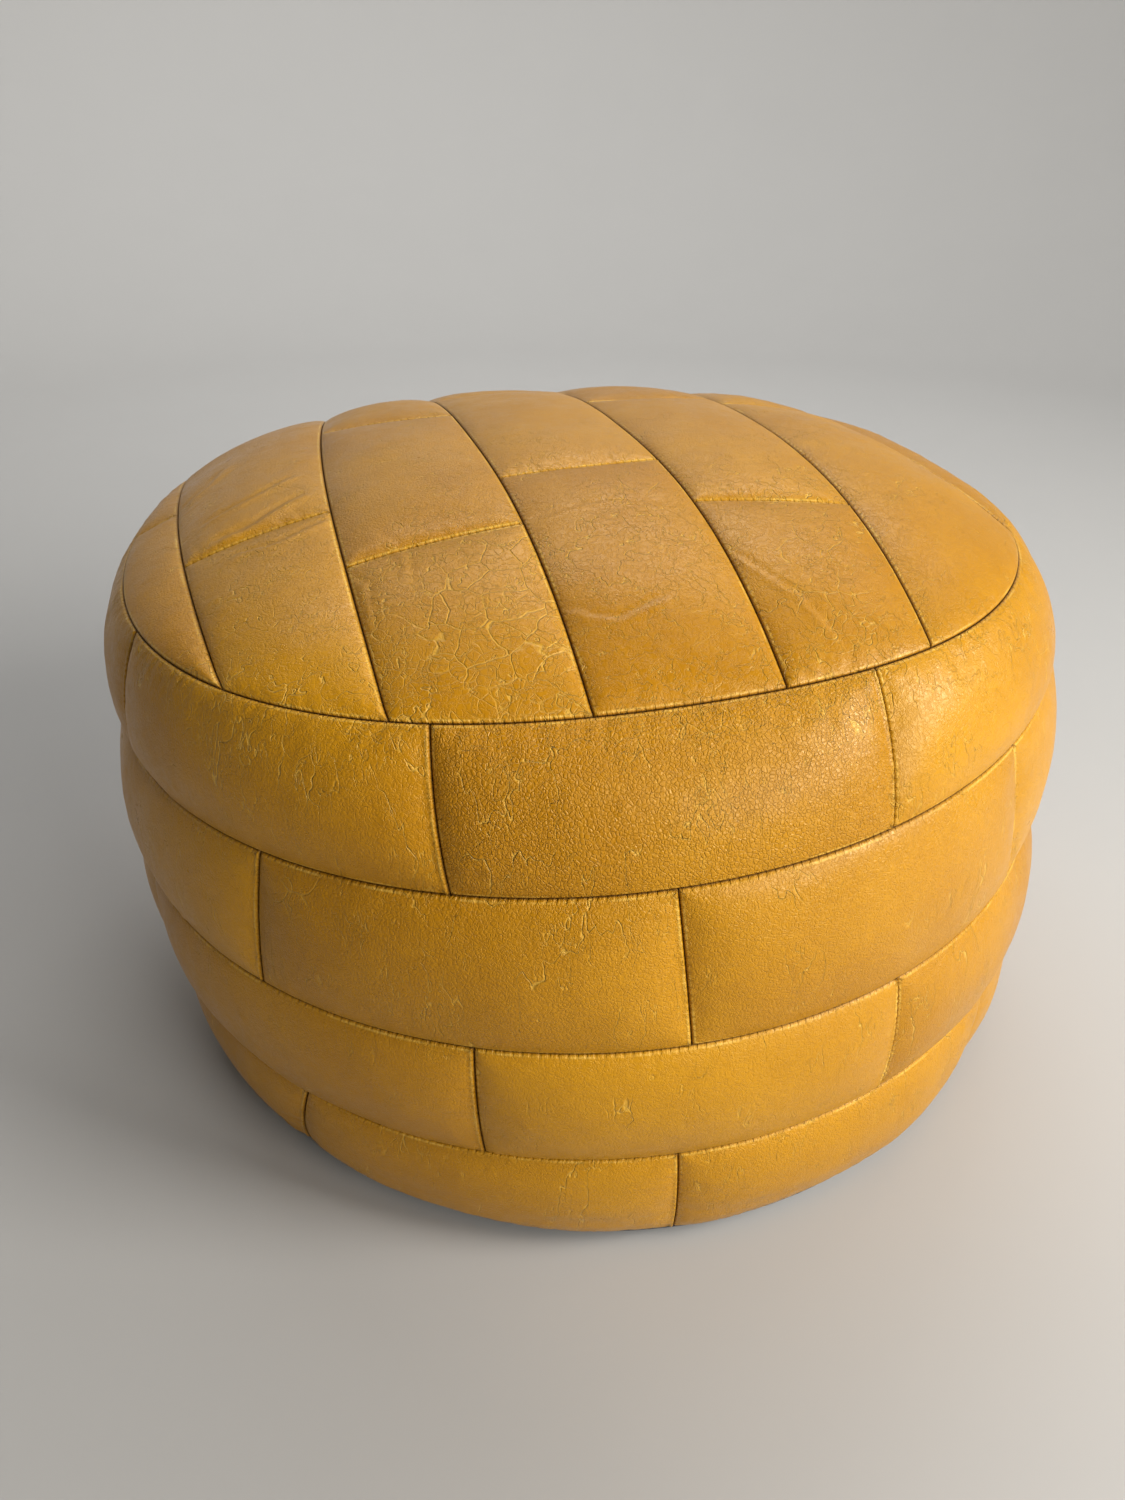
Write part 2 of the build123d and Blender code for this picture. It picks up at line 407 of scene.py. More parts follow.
    @staticmethod
    def shifted(tree: Tree, place: bpy.types.NodeSocket, scale: float,
                amount: float) -> bpy.types.NodeSocket:
        """Shift places about with noise.

        Args:
            tree: The material's builder.
            place: The places.
            scale: The noise's scale.
            amount: How far they shift, in metres.

        Returns:
            The shifted places.
        """
        push = tree.add("ShaderNodeTexNoise", {"Vector": place, "Scale": scale, "Detail": 2.0}).outputs[1]
        push = tree.vector("SUBTRACT", {0: push, 1: (0.5, 0.5, 0.5)})
        push = tree.vector("SCALE", {0: push, "Scale": amount})
        return tree.vector("ADD", {0: place, 1: push})

    @staticmethod
    def creases(tree: Tree, place: bpy.types.NodeSocket, wear: bpy.types.NodeSocket) -> bpy.types.NodeSocket:
        """Branching creases where the leather has folded, long ones and finer ones between them.

        Args:
            tree: The material's builder.
            place: Places on the leather.
            wear: How creased it is there.

        Returns:
            A number from 0 to 1, 1 in the middle of a crease.
        """
        tall = tree.vector("MULTIPLY", {0: place, 1: (1.0, 1.0, 0.16)})
        lines = []
        # Long ones follow the contours of stretched noise; the others branch
        for scale, width, patchiness, strength in ((48.0, 0.0075, 26.0, 1.0), (120.0, 0.011, 40.0, 0.75)):
            level = tree.math("SUBTRACT", tree.noise(tall, scale, 3.0, 0.55), 0.5)
            line = tree.span(tree.math("ABSOLUTE", level), 0.0, width, strength, 0.0)
            where = tree.math("ADD", tree.noise(place, patchiness, 2.0), tree.math("MULTIPLY", wear, 0.32))
            lines.append(tree.math("MULTIPLY", line, tree.span(where, 0.58, 0.74)))
        for scale, width, patchiness, strength in ((66.0, 0.03, 21.0, 0.8), (180.0, 0.05, 33.0, 0.45)):
            gap = tree.add("ShaderNodeTexVoronoi", {"Vector": place, "Scale": scale},
                           feature="DISTANCE_TO_EDGE").outputs["Distance"]
            line = tree.span(gap, 0.0, width, strength, 0.0)
            where = tree.math("ADD", tree.noise(place, patchiness, 2.0), tree.math("MULTIPLY", wear, 0.3))
            lines.append(tree.math("MULTIPLY", line, tree.span(where, 0.74, 0.9)))
        first, second, third, fourth = lines
        return tree.math("MAXIMUM", tree.math("MAXIMUM", first, second), tree.math("MAXIMUM", third, fourth))


@dataclass(frozen=True)
class WovenFinish:
    """Plain-woven cloth, with the threads as relief and as painted shade and highlight in its colour.

    Attributes:
        name: The material's name.
        colour: Colour of the yarn.
        pitch: Distance from one thread to the next, in metres.
        relief: Height of the weave, in metres.
        sheen: Fuzz on the surface, from 0 to 1.
    """

    name: str
    colour: tuple[float, float, float, float]
    pitch: float
    relief: float
    sheen: float = 0.2

    def build(self) -> bpy.types.Material:
        """Build the material."""
        material, tree, shader = new_material(self.name)
        place = tree.add("ShaderNodeTexCoord").outputs["Object"]
        axes = tree.add("ShaderNodeSeparateXYZ", {0: place})
        turn = math.pi / self.pitch
        waves = [tree.math("SINE", tree.math("MULTIPLY", axes.outputs[k], turn)) for k in (0, 1)]
        over = tree.math("MULTIPLY", *waves)
        threads = tree.math("ADD", tree.math("ABSOLUTE", waves[0]), tree.math("ABSOLUTE", waves[1]))
        weave = tree.math("ADD", tree.math("MULTIPLY", threads, 0.3), tree.math("MULTIPLY", over, 0.5))
        cloud = tree.noise(place, 22.0, 4.0)
        slub = tree.noise(place, 500.0, 3.0)
        dark = tuple(channel * 0.55 for channel in self.colour[:3]) + (1.0,)
        # Painted shade and highlight: the colour is darker where the weave is low, between the threads, and
        # lighter on their crowns, over a random cloud.
        shade = tree.math("ADD", tree.span(cloud, 0.3, 0.7, 0.3, 0.8), tree.span(weave, -0.4, 0.9, -0.3, 0.2),
                          clamp=True)
        colour = tree.mix(shade, dark, self.colour)
        normal = tree.bump(weave, self.relief)
        normal = tree.bump(slub, self.relief * 0.6, normal=normal)
        tree.wire(shader, {"Base Color": colour, "Normal": normal})
        shader.inputs["Roughness"].default_value = 0.85
        shader.inputs["Sheen Weight"].default_value = self.sheen
        return material


@dataclass(frozen=True)
class MetalFinish:
    """Cast and tumbled brass, dulled with handling.

    Attributes:
        bright: Colour where it is rubbed.
        dull: Colour where it is tarnished.
    """

    bright: tuple[float, float, float, float] = (0.70, 0.52, 0.25, 1.0)
    dull: tuple[float, float, float, float] = (0.28, 0.19, 0.09, 1.0)

    def build(self) -> bpy.types.Material:
        """Build the material."""
        material, tree, shader = new_material("zip_metal")
        place = tree.add("ShaderNodeTexCoord").outputs["Object"]
        cloud = tree.noise(place, 420.0, 5.0, 0.65)
        colour = tree.mix(tree.span(cloud, 0.35, 0.62), self.dull, self.bright)
        rough = tree.span(cloud, 0.3, 0.7, 0.52, 0.26)
        normal = tree.bump(tree.noise(place, 2400.0, 3.0), 0.02 * MM)
        tree.wire(shader, {"Base Color": colour, "Roughness": rough, "Normal": normal})
        shader.inputs["Metallic"].default_value = 1.0
        return material


@dataclass(frozen=True)
class ThreadFinish:
    """Waxed sewing thread.

    Attributes:
        name: The material's name.
        colour: Colour of the thread.
    """

    name: str
    colour: tuple[float, float, float, float]

    def build(self) -> bpy.types.Material:
        """Build the material."""
        material, tree, shader = new_material(self.name)
        place = tree.add("ShaderNodeTexCoord").outputs["Object"]
        strands = tree.noise(place, 1800.0, 3.0)
        pale = tuple(min(1.0, channel * 2.2) for channel in self.colour[:3]) + (1.0,)
        colour = tree.mix(tree.span(strands, 0.4, 0.65), self.colour, pale)
        normal = tree.bump(strands, 0.05 * MM)
        tree.wire(shader, {"Base Color": colour, "Normal": normal})
        shader.inputs["Roughness"].default_value = 0.6
        return material


@dataclass(frozen=True)
class BackdropFinish:
    """Plain matt paint for the floor and backdrop.

    Attributes:
        colour: The paint's colour.
    """

    colour: tuple[float, float, float, float] = (0.43, 0.42, 0.40, 1.0)

    def build(self) -> bpy.types.Material:
        """Build the material."""
        material, tree, shader = new_material("studio_floor")
        place = tree.add("ShaderNodeTexCoord").outputs["Object"]
        pale = tuple(channel * 1.03 for channel in self.colour[:3]) + (1.0,)
        colour = tree.mix(tree.noise(place, 6.0, 3.0), self.colour, pale)
        tree.wire(shader, {"Base Color": colour})
        shader.inputs["Roughness"].default_value = 0.75
        return material


# ---- Repeated shapes ---------------------------------------------------------------------------
@dataclass
class Places:
    """Places for a repeated shape.

    Attributes:
        points: Where each one stands, in metres.
        out: The direction that each one's top faces.
        run: The direction of the line that they follow.
    """

    points: np.ndarray
    out: np.ndarray
    run: np.ndarray

    @classmethod
    def along(cls, line: np.ndarray, out: np.ndarray, pitch: float, depth: float = 0.0) -> "Places":
        """Space places evenly along a line.

        Args:
            line: Points of the line.
            out: The surface's normal at each point.
            pitch: Distance between places, in metres.
            depth: How far below the surface they lie, in metres.

        Returns:
            The places, from half a pitch after the line's start.
        """
        steps = np.linalg.norm(np.diff(line, axis=0), axis=1)
        run = np.concatenate([[0.0], np.cumsum(steps)])
        count = max(1, round(run[-1] / pitch))
        at = (np.arange(count) + 0.5) * run[-1] / count

        def read(values: np.ndarray) -> np.ndarray:
            return np.stack([np.interp(at, run, values[:, k]) for k in range(3)], -1)

        facing = read(out / np.linalg.norm(out, axis=1, keepdims=True))
        heading = read(np.gradient(line, axis=0))
        heading /= np.maximum(np.linalg.norm(heading, axis=1, keepdims=True), 1e-9)
        return cls(read(line) - facing * depth, facing, heading)

    @classmethod
    def together(cls, parts: list["Places"]) -> "Places":
        """Join several lists of places."""
        return cls(*(np.concatenate([getattr(part, name) for part in parts])
                     for name in ("points", "out", "run")))


def loft(sections: list[tuple[float, float, float, float]], sides: int = 6,
         squareness: float = 1.0) -> bpy.types.Object:
    """Make a small closed shape from sections along Y.

    Args:
        sections: For each one its place along Y, its height, and its half width and half height.
        sides: Corners of a section.
        squareness: 1 for round sections, more for squarer ones.

    Returns:
        The shape, in the scene.
    """
    angles = (np.arange(sides) + 0.5) * 2 * math.pi / sides

    def fit(wave: float) -> float:
        return np.sign(wave) * np.abs(wave) ** (1.0 / squareness)

    points = np.array([
        (half_width * fit(math.cos(a)), y, z + half_height * fit(math.sin(a)))
        for y, z, half_width, half_height in sections for a in angles
    ])
    rows = len(sections)
    faces = [
        (k * sides + j, k * sides + (j + 1) % sides, (k + 1) * sides + (j + 1) % sides, (k + 1) * sides + j)
        for k in range(rows - 1) for j in range(sides)
    ]
    faces += [tuple(range(sides))[::-1], tuple((rows - 1) * sides + j for j in range(sides))]
    shape = make_object("repeated_shape", points, faces, None)
    close(shape)
    return shape


def close(piece: bpy.types.Object, distance: float = 1e-6) -> bpy.types.Object:
    """Merge a closed mesh's doubles and turn its faces outward."""
    mesh = bmesh.new()
    mesh.from_mesh(piece.data)
    bmesh.ops.remove_doubles(mesh, verts=mesh.verts, dist=distance)
    bmesh.ops.dissolve_degenerate(mesh, edges=mesh.edges, dist=distance)
    bmesh.ops.recalc_face_normals(mesh, faces=mesh.faces)
    mesh.to_mesh(piece.data)
    mesh.free()
    return piece


@dataclass(frozen=True)
class Thread:
    """One stitch: a short bar of thread, bowed in the middle.

    Attributes:
        length: Its length in metres.
        thickness: Its thickness in metres.
    """

    length: float
    thickness: float

    def build(self) -> bpy.types.Object:
        """Make the stitch, along Y, with its top to Z."""
        half, round_ = self.length / 2, self.thickness / 2
        spots = ((-1.0, -0.9, 0.55), (-0.55, 0.1, 1.0), (0.0, 0.4, 1.0), (0.55, 0.1, 1.0), (1.0, -0.9, 0.55))
        return loft([(y * half, z * round_, w * round_, w * round_) for y, z, w in spots], sides=5)


@dataclass(frozen=True)
class Repeat:
    """Sets a small shape at many places with Geometry Nodes.

    Attributes:
        name: The node tree's name.
        jitter: How much the shapes' sizes vary, as a share.
        seed: Chooses which ones are larger.
    """

    name: str
    jitter: float = 0.0
    seed: int = 0

    def tree(self) -> bpy.types.NodeTree:
        """Build the node tree."""
        group = bpy.data.node_groups.new(self.name, "GeometryNodeTree")
        sockets = {"Places": "Geometry", "Shape": "Object", "Jitter": "Float", "Seed": "Int",
                   "Finish": "Material"}
        for label, kind in sockets.items():
            group.interface.new_socket(label, in_out="INPUT", socket_type=f"NodeSocket{kind}")
        group.interface.new_socket("Geometry", in_out="OUTPUT", socket_type="NodeSocketGeometry")
        nodes = Tree(group)
        given = nodes.add("NodeGroupInput").outputs
        out, run = (
            nodes.add("GeometryNodeInputNamedAttribute", {"Name": label}, data_type="FLOAT_VECTOR").outputs[0]
            for label in ("out", "run")
        )
        turn = nodes.add("FunctionNodeAxesToRotation", {0: out, 1: run}, primary_axis="Z",
                         secondary_axis="X").outputs[0]
        least = nodes.math("SUBTRACT", 1.0, given["Jitter"])
        most = nodes.math("ADD", 1.0, given["Jitter"])
        size = nodes.add("FunctionNodeRandomValue", {2: least, 3: most, "Seed": given["Seed"]},
                         data_type="FLOAT").outputs[1]
        shape = nodes.add("GeometryNodeObjectInfo", {"Object": given["Shape"]}).outputs["Geometry"]
        placed = nodes.add("GeometryNodeInstanceOnPoints", {
            "Points": given["Places"], "Instance": shape, "Rotation": turn, "Scale": size}).outputs[0]
        real = nodes.add("GeometryNodeRealizeInstances", {0: placed}).outputs[0]
        dressed = nodes.add("GeometryNodeSetMaterial", {"Geometry": real, "Material": given["Finish"]})
        nodes.add("NodeGroupOutput", {0: dressed.outputs[0]})
        return group

    def build(self, name: str, places: Places, shape: bpy.types.Object,
              material: bpy.types.Material) -> bpy.types.Object:
        """Set the shape at the places and keep the result as one mesh.

        Args:
            name: The piece's name.
            places: Where the shapes go.
            shape: The shape, which is removed afterwards.
            material: The finish.

        Returns:
            The finished piece.
        """
        carrier = make_object(f"{name}_places", places.points, [], None)
        for label, values in (("out", places.out), ("run", places.run)):
            layer = carrier.data.attributes.new(label, "FLOAT_VECTOR", "POINT")
            layer.data.foreach_set("vector", np.ascontiguousarray(values, np.float32).ravel())
        modifier = carrier.modifiers.new("places", "NODES")
        modifier.node_group = self.tree()
        given = {"Shape": shape, "Jitter": self.jitter, "Seed": self.seed, "Finish": material}
        for socket in modifier.node_group.interface.items_tree:
            if socket.in_out == "INPUT" and socket.name in given:
                modifier[socket.identifier] = given[socket.name]
        graph = bpy.context.evaluated_depsgraph_get()
        mesh = bpy.data.meshes.new_from_object(carrier.evaluated_get(graph), depsgraph=graph)
        mesh.name = name
        piece = bpy.data.objects.new(name, mesh)
        bpy.context.scene.collection.objects.link(piece)
        for spare in (carrier, shape):
            bpy.data.objects.remove(spare)
        return piece


# ---- The pouf's form ---------------------------------------------------------------------------
@dataclass(frozen=True)
class SeamRing:
    """A seam that runs all round the pouf, as it has settled.

    Attributes:
        radius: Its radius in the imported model, in metres.
        height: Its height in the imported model, in metres.
        wander: Pairs (cosine, sine) that push it out once, twice and more times a turn, in metres.
        rise: The same, for its height.
    """

    radius: float
    height: float
    wander: tuple[tuple[float, float], ...] = ()
    rise: tuple[tuple[float, float], ...] = ()

    @staticmethod
    def waves(turn: np.ndarray, pairs: tuple[tuple[float, float], ...]) -> np.ndarray:
        """Add up waves round the pouf."""
        total = np.zeros_like(turn, dtype=float)
        for times, (cosine, sine) in enumerate(pairs, start=1):
            total += cosine * np.cos(times * turn) + sine * np.sin(times * turn)
        return total

    def radii(self, turn: np.ndarray) -> np.ndarray:
        """Distance from the axis at each angle, in radians."""
        return self.radius + self.waves(turn, self.wander)

    def points(self, turn: np.ndarray) -> np.ndarray:
        """Points of the seam at each angle, in radians."""
        radii = self.radii(turn)
        heights = self.height + self.waves(turn, self.rise)
        return np.stack([radii * np.cos(turn), radii * np.sin(turn), heights], -1)


@dataclass(frozen=True)
class Crown:
    """The domed top inside the top seam.

    Attributes:
        rim: The top seam.
        rise: Height of the middle above the seam, in metres.
        flatness: Higher values keep the middle flatter and the edge rounder.
    """

    rim: SeamRing
    rise: float
    flatness: float = 2.7

    def heights(self, across: np.ndarray) -> np.ndarray:
        """Height of the top at each place.

        Args:
            across: Places from above, with x and y in the last axis.

        Returns:
            Heights in metres.
        """
        turn = np.arctan2(across[..., 1], across[..., 0])
        part = np.clip(np.hypot(across[..., 0], across[..., 1]) / self.rim.radii(turn), 0.0, 1.0)
        tilt = self.rim.waves(turn, self.rim.rise) * part**2
        return self.rim.height + tilt + self.rise * (1.0 - part**self.flatness)

    def reach(self, start: np.ndarray, direction: np.ndarray) -> np.ndarray:
        """How far the seam is from each place in one direction, from above."""
        near, far = np.zeros(start.shape[0]), np.full(start.shape[0], 3.0 * self.rim.radius)
        for _ in range(40):
            middle = (near + far) / 2
            spot = start + middle[:, None] * direction
            turn = np.arctan2(spot[:, 1], spot[:, 0])
            inside = np.hypot(spot[:, 0], spot[:, 1]) < self.rim.radii(turn)
            near, far = np.where(inside, middle, near), np.where(inside, far, middle)
        return near


@dataclass(frozen=True)
class Slump:
    """How the pouf has settled, seam by seam from the base to the top, in millimetres.

    Attributes:
        wander: Waves of each seam's radius, as pairs for once, twice and more times a turn.
        rise: Waves of each seam's height.
        swell: How far each band stands out between its seams, before its patches puff.
    """

    wander: tuple = (
        ((3.3, 1.0),),
        ((2.1, 0.9), (-0.4, 0.7)),
        ((-3.9, -2.7), (-1.9, 2.6)),
        ((-5.9, 1.3), (-1.8, 2.3)),
        ((-20.3, -3.3), (2.2, 2.1), (-1.5, -2.5), (-5.6, -6.7)),
    )
    rise: tuple = (
        (), ((9.1, 0.8),), ((4.9, 1.3),), ((15.4, 3.5),), ((7.6, 1.7), (4.8, -0.3), (1.9, 0.5)),
    )
    swell: tuple = (3.2, 3.6, 1.8, 4.6)


class Form:
    """The pouf's surface before its patches puff out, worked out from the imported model.

    Attributes:
        rings: The seams that run round the pouf, from the base to the top.
        crown: The top.
        rows: Number of bands in the side.
        per_row: Patches in a band.
        swells: How far each band stands out between its seams, from the base up, in metres.
    """

    def __init__(self, slump: Slump) -> None:
        """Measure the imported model's seams and let them settle."""
        self.swells = tuple(swell * MM for swell in slump.swell)
        names = [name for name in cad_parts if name.startswith("side_patch_")]
        self.rows = max(int(name.split("_")[2]) for name in names)
        self.per_row = max(int(name.split("_")[3]) for name in names)
        self.rings: list[SeamRing] = []
        for ring in range(self.rows + 1):
            row = min(self.rows, self.rows - ring + 1) if ring else self.rows
            points = node_points(f"side_patch_{row}_1")
            height = points[:, 2].max() if ring else points[:, 2].min()
            at_seam = points[np.abs(points[:, 2] - height) < 0.1 * MM]
            pairs = [tuple((c * MM, s * MM) for c, s in wave[ring]) for wave in (slump.wander, slump.rise)]
            radius = float(np.hypot(at_seam[:, 0], at_seam[:, 1]).max())
            self.rings.append(SeamRing(radius, float(height), *pairs))
        top = float(CAD_BOX[1][2])
        self.crown = Crown(self.rings[-1], top - self.rings[-1].height)

    def side(self, ring: int, turn: np.ndarray, up: np.ndarray) -> np.ndarray:
        """Points of the side between a ring and the next one up.

        Args:
            ring: The lower seam's number.
            turn: Angles in radians.
            up: From 0 at the lower seam to 1 at the upper one.

        Returns:
            Points in metres.
        """
        low, high = self.rings[ring].points(turn), self.rings[ring + 1].points(turn)
        swell = 4.0 * self.swells[ring] * up * (1.0 - up)
        outward = np.stack([np.cos(turn), np.sin(turn), np.zeros_like(turn)], -1)
        return low + (high - low) * up[..., None] + outward * swell[..., None]

    def skin(self, depth: float, turns: int = 144, levels: int = 7) -> np.ndarray:
        """Points all over the cover's inside, from the base seam to the middle of the top.

        Args:
            depth: How far inside the form's surface, in metres.
            turns: Points round the pouf.
            levels: Points up each band.

        Returns:
            A grid with its first axis round the pouf and its last column at the middle of the top.
        """
        turn = np.linspace(0, 2 * math.pi, turns + 1)[:, None]
        columns = []
        for ring in range(self.rows):
            up = np.linspace(0, 1, levels, endpoint=ring == self.rows - 1)[None, :]
            columns.append(self.side(ring, *np.broadcast_arrays(turn, up)))
        side = np.concatenate(columns, 1)
        radii = np.hypot(side[..., 0], side[..., 1])
        side[..., :2] *= ((radii - depth) / radii)[..., None]
        rim = self.rings[-1]
        side[..., 2] = np.minimum(side[..., 2], rim.points(turn[:, 0])[:, None, 2] - depth)
        part = np.linspace(1, 0, 4 * levels)[None, 1:]
        reach = (rim.radii(turn) - depth) * part
        flat = np.stack([reach * np.cos(turn), reach * np.sin(turn)], -1)
        top = np.concatenate([flat, self.crown.heights(flat)[..., None] - depth], -1)
        return np.concatenate([side, top], 1)


class Region(Enum):
    """Which part of the cover a patch belongs to."""

    SIDE = "side"
    TOP = "top"


class Edge(Enum):
    """An edge of a patch's grid."""

    START = "start"
    END = "end"
    LOW = "low"
    HIGH = "high"

    def of(self, grid: np.ndarray) -> np.ndarray:
        """The grid's points along this edge."""
        return {Edge.START: grid[0], Edge.END: grid[-1], Edge.LOW: grid[:, 0], Edge.HIGH: grid[:, -1]}[self]


@dataclass
class Patch:
    """One leather patch.

    Attributes:
        name: The node that it stands for.
        region: Where it is on the cover.
        row: Its band or strip.
        grid: Its points on the form, then as puffed out; the first axis runs along it.
        rest: The same grid as the leather was cut, with some ease.
        tone: From 0, dark, to 1, light.
        grain: How deep its pebbled grain is, from 0 to 1.
        gather: Ease that its edge at the top seam or base seam takes up in small folds, 0 to 1.
        sewn: The edges whose stitches are made with this patch.
    """

    name: str
    region: Region
    row: int
    grid: np.ndarray
    rest: np.ndarray
    tone: float
    grain: float
    gather: float = 0.0
    sewn: tuple[Edge, ...] = ()


@dataclass(frozen=True)
class Fold:
    """A fold pressed into the top, along a line from above.

    Attributes:
        line: Its points, as x and y in millimetres.
        depth: How deep it is, in millimetres.
        width: How wide it is, in millimetres.
    """

    line: tuple[tuple[float, float], ...]
    depth: float
    width: float

    def heights(self, across: np.ndarray) -> np.ndarray:
        """Height of the fold at each place, in metres: a valley with a ridge beside it.

        Args:
            across: Places from above, with x and y in the last axis, in metres.

        Returns:
            Heights in metres.
        """
        best = np.full(across.shape[:-1], 1e9)
        beside = np.zeros(across.shape[:-1])
        fade = np.zeros(across.shape[:-1])
        points = np.array(self.line) * MM
        for number, (start, end) in enumerate(zip(points[:-1], points[1:])):
            step = end - start
            part = ((across - start) @ step) / (step @ step)
            held = np.clip(part, 0, 1)
            gap = across - (start + held[..., None] * step)
            distance = np.linalg.norm(gap, axis=-1)
            nearer = distance < best
            best = np.where(nearer, distance, best)
            hand = np.sign(gap[..., 0] * step[1] - gap[..., 1] * step[0])
            beside = np.where(nearer, hand * distance, beside)
            fade = np.where(nearer, (number + held) / (len(points) - 1), fade)
        ends = smooth(np.minimum(fade, 1 - fade) / 0.22)
        width = self.width * MM
        valley = -np.exp(-((beside / (0.5 * width)) ** 2))
        ridge = 0.75 * np.exp(-(((beside - width) / (0.8 * width)) ** 2))
        return self.depth * MM * (valley + ridge) * ends


@dataclass(frozen=True)
class CutPlan:
    """Where the patches' cross seams lie, and how much ease each band has.

    Attributes:
        strip_turn: Degrees from X to the direction across the top's strips.
        strip_shift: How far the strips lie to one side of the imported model's, in metres.
        cross_shift: How far their cross seams lie along them, in metres.
        seam_leans: Degrees that a side seam's lower and upper ends are off, by band and patch.
        cross_skews: Metres that a cross seam's left and right ends are off, by strip and patch.
        seam_bends: How far each long seam of the top is off its line, in millimetres: all along,
            and growing with the distance and its square, in decimetres to the front.
        worn: How creased some patches of the top are, from 0 to 1.
        pebbled: The band and number of the side patch with the deepest grain.
        folds: Folds in the top.
        row_ease: Extra leather in each band, from the top, as a share of its width.
        row_gather: Extra leather along the band's edge at the top seam or base seam.
        top_ease: Extra leather in the top's patches.
        step: Spacing of the simulated grid, in metres.
    """

    strip_turn: float = 18.0
    strip_shift: float = -26.4 * MM
    cross_shift: float = -3.2 * MM
    seam_leans: dict = field(default_factory=lambda: {
        (1, 5): (-1.0, 5.0), (1, 6): (0.5, -2.5), (1, 7): (-2.5, -0.5),
        (2, 6): (2.0, 3.0), (2, 7): (0.0, -2.0), (2, 8): (1.0, -4.0),
        (3, 6): (2.5, 2.5), (3, 7): (1.5, 0.5), (4, 6): (-2.0, 3.0), (4, 7): (1.0, 0.0),
    })
    cross_skews: dict = field(default_factory=lambda: {
        (2, 2): (-1 * MM, 1 * MM), (3, 2): (-13 * MM, 11 * MM), (3, 3): (1.5 * MM, -1.5 * MM),
        (4, 3): (2 * MM, 0.0), (5, 3): (-6.5 * MM, 6.5 * MM),
    })
    worn: dict = field(default_factory=lambda: {
        "top_patch_2_2": 0.62, "top_patch_3_3": 1.0, "top_patch_4_3": 0.55, "top_patch_5_3": 0.6,
    })
    pebbled: tuple[int, int] = (1, 6)
    seam_bends: tuple = (
        (1.5, 4.0, 4.5), (-1.5, -5.0, 3.0), (-0.5, -0.5, 0.0),
        (3.0, 0.0, -0.5), (4.5, -4.0, -0.8), (-1.5, 5.0, 4.0),
    )
    folds: tuple[Fold, ...] = (
        Fold(((-31, -117), (6, -101), (43, -99)), 0.45, 1.8),
        Fold(((57, -126), (72, -143), (86, -156), (107, -184)), 0.9, 2.0),
        Fold(((60, -118), (84, -135), (100, -160)), 0.5, 1.6),
        Fold(((52, -142), (66, -160), (76, -185)), 0.45, 1.5),
        Fold(((110, -38), (128, -45), (148, -60)), 0.45, 1.8),
        Fold(((-192, -78), (-165, -62), (-148, -40)), 0.9, 4.5),
        Fold(((-180, -100), (-158, -92), (-134, -66)), 1.0, 5.0),
        Fold(((-165, -120), (-140, -118), (-118, -98)), 0.8, 4.0),
        Fold(((-215, -40), (-205, -18), (-200, 8)), 0.8, 4.5),
        Fold(((-95, -118), (-78, -140), (-70, -168)), 0.5, 2.2),
        Fold(((-112, -140), (-92, -158), (-84, -190)), 0.45, 2.0),
        Fold(((-20, -170), (10, -176), (34, -160)), 0.45, 2.5),
    )
    row_ease: tuple[float, ...] = (0.022, 0.006, 0.016, 0.014)
    row_gather: tuple[float, ...] = (0.05, 0.0, 0.0, 0.02)
    top_ease: float = 0.012
    step: float = 3.6 * MM

    def bend(self, seam: int, along: np.ndarray) -> np.ndarray:
        """How far a long seam of the top is off its line.

        Args:
            seam: The seam's number, from 1 at the left.
            along: Places along it, in metres to the front.

        Returns:
            Shifts to the right, in metres.
        """
        flat, slope, curve = self.seam_bends[seam - 1]
        reach = along / 0.1
        return (flat + slope * reach + curve * reach**2) * MM


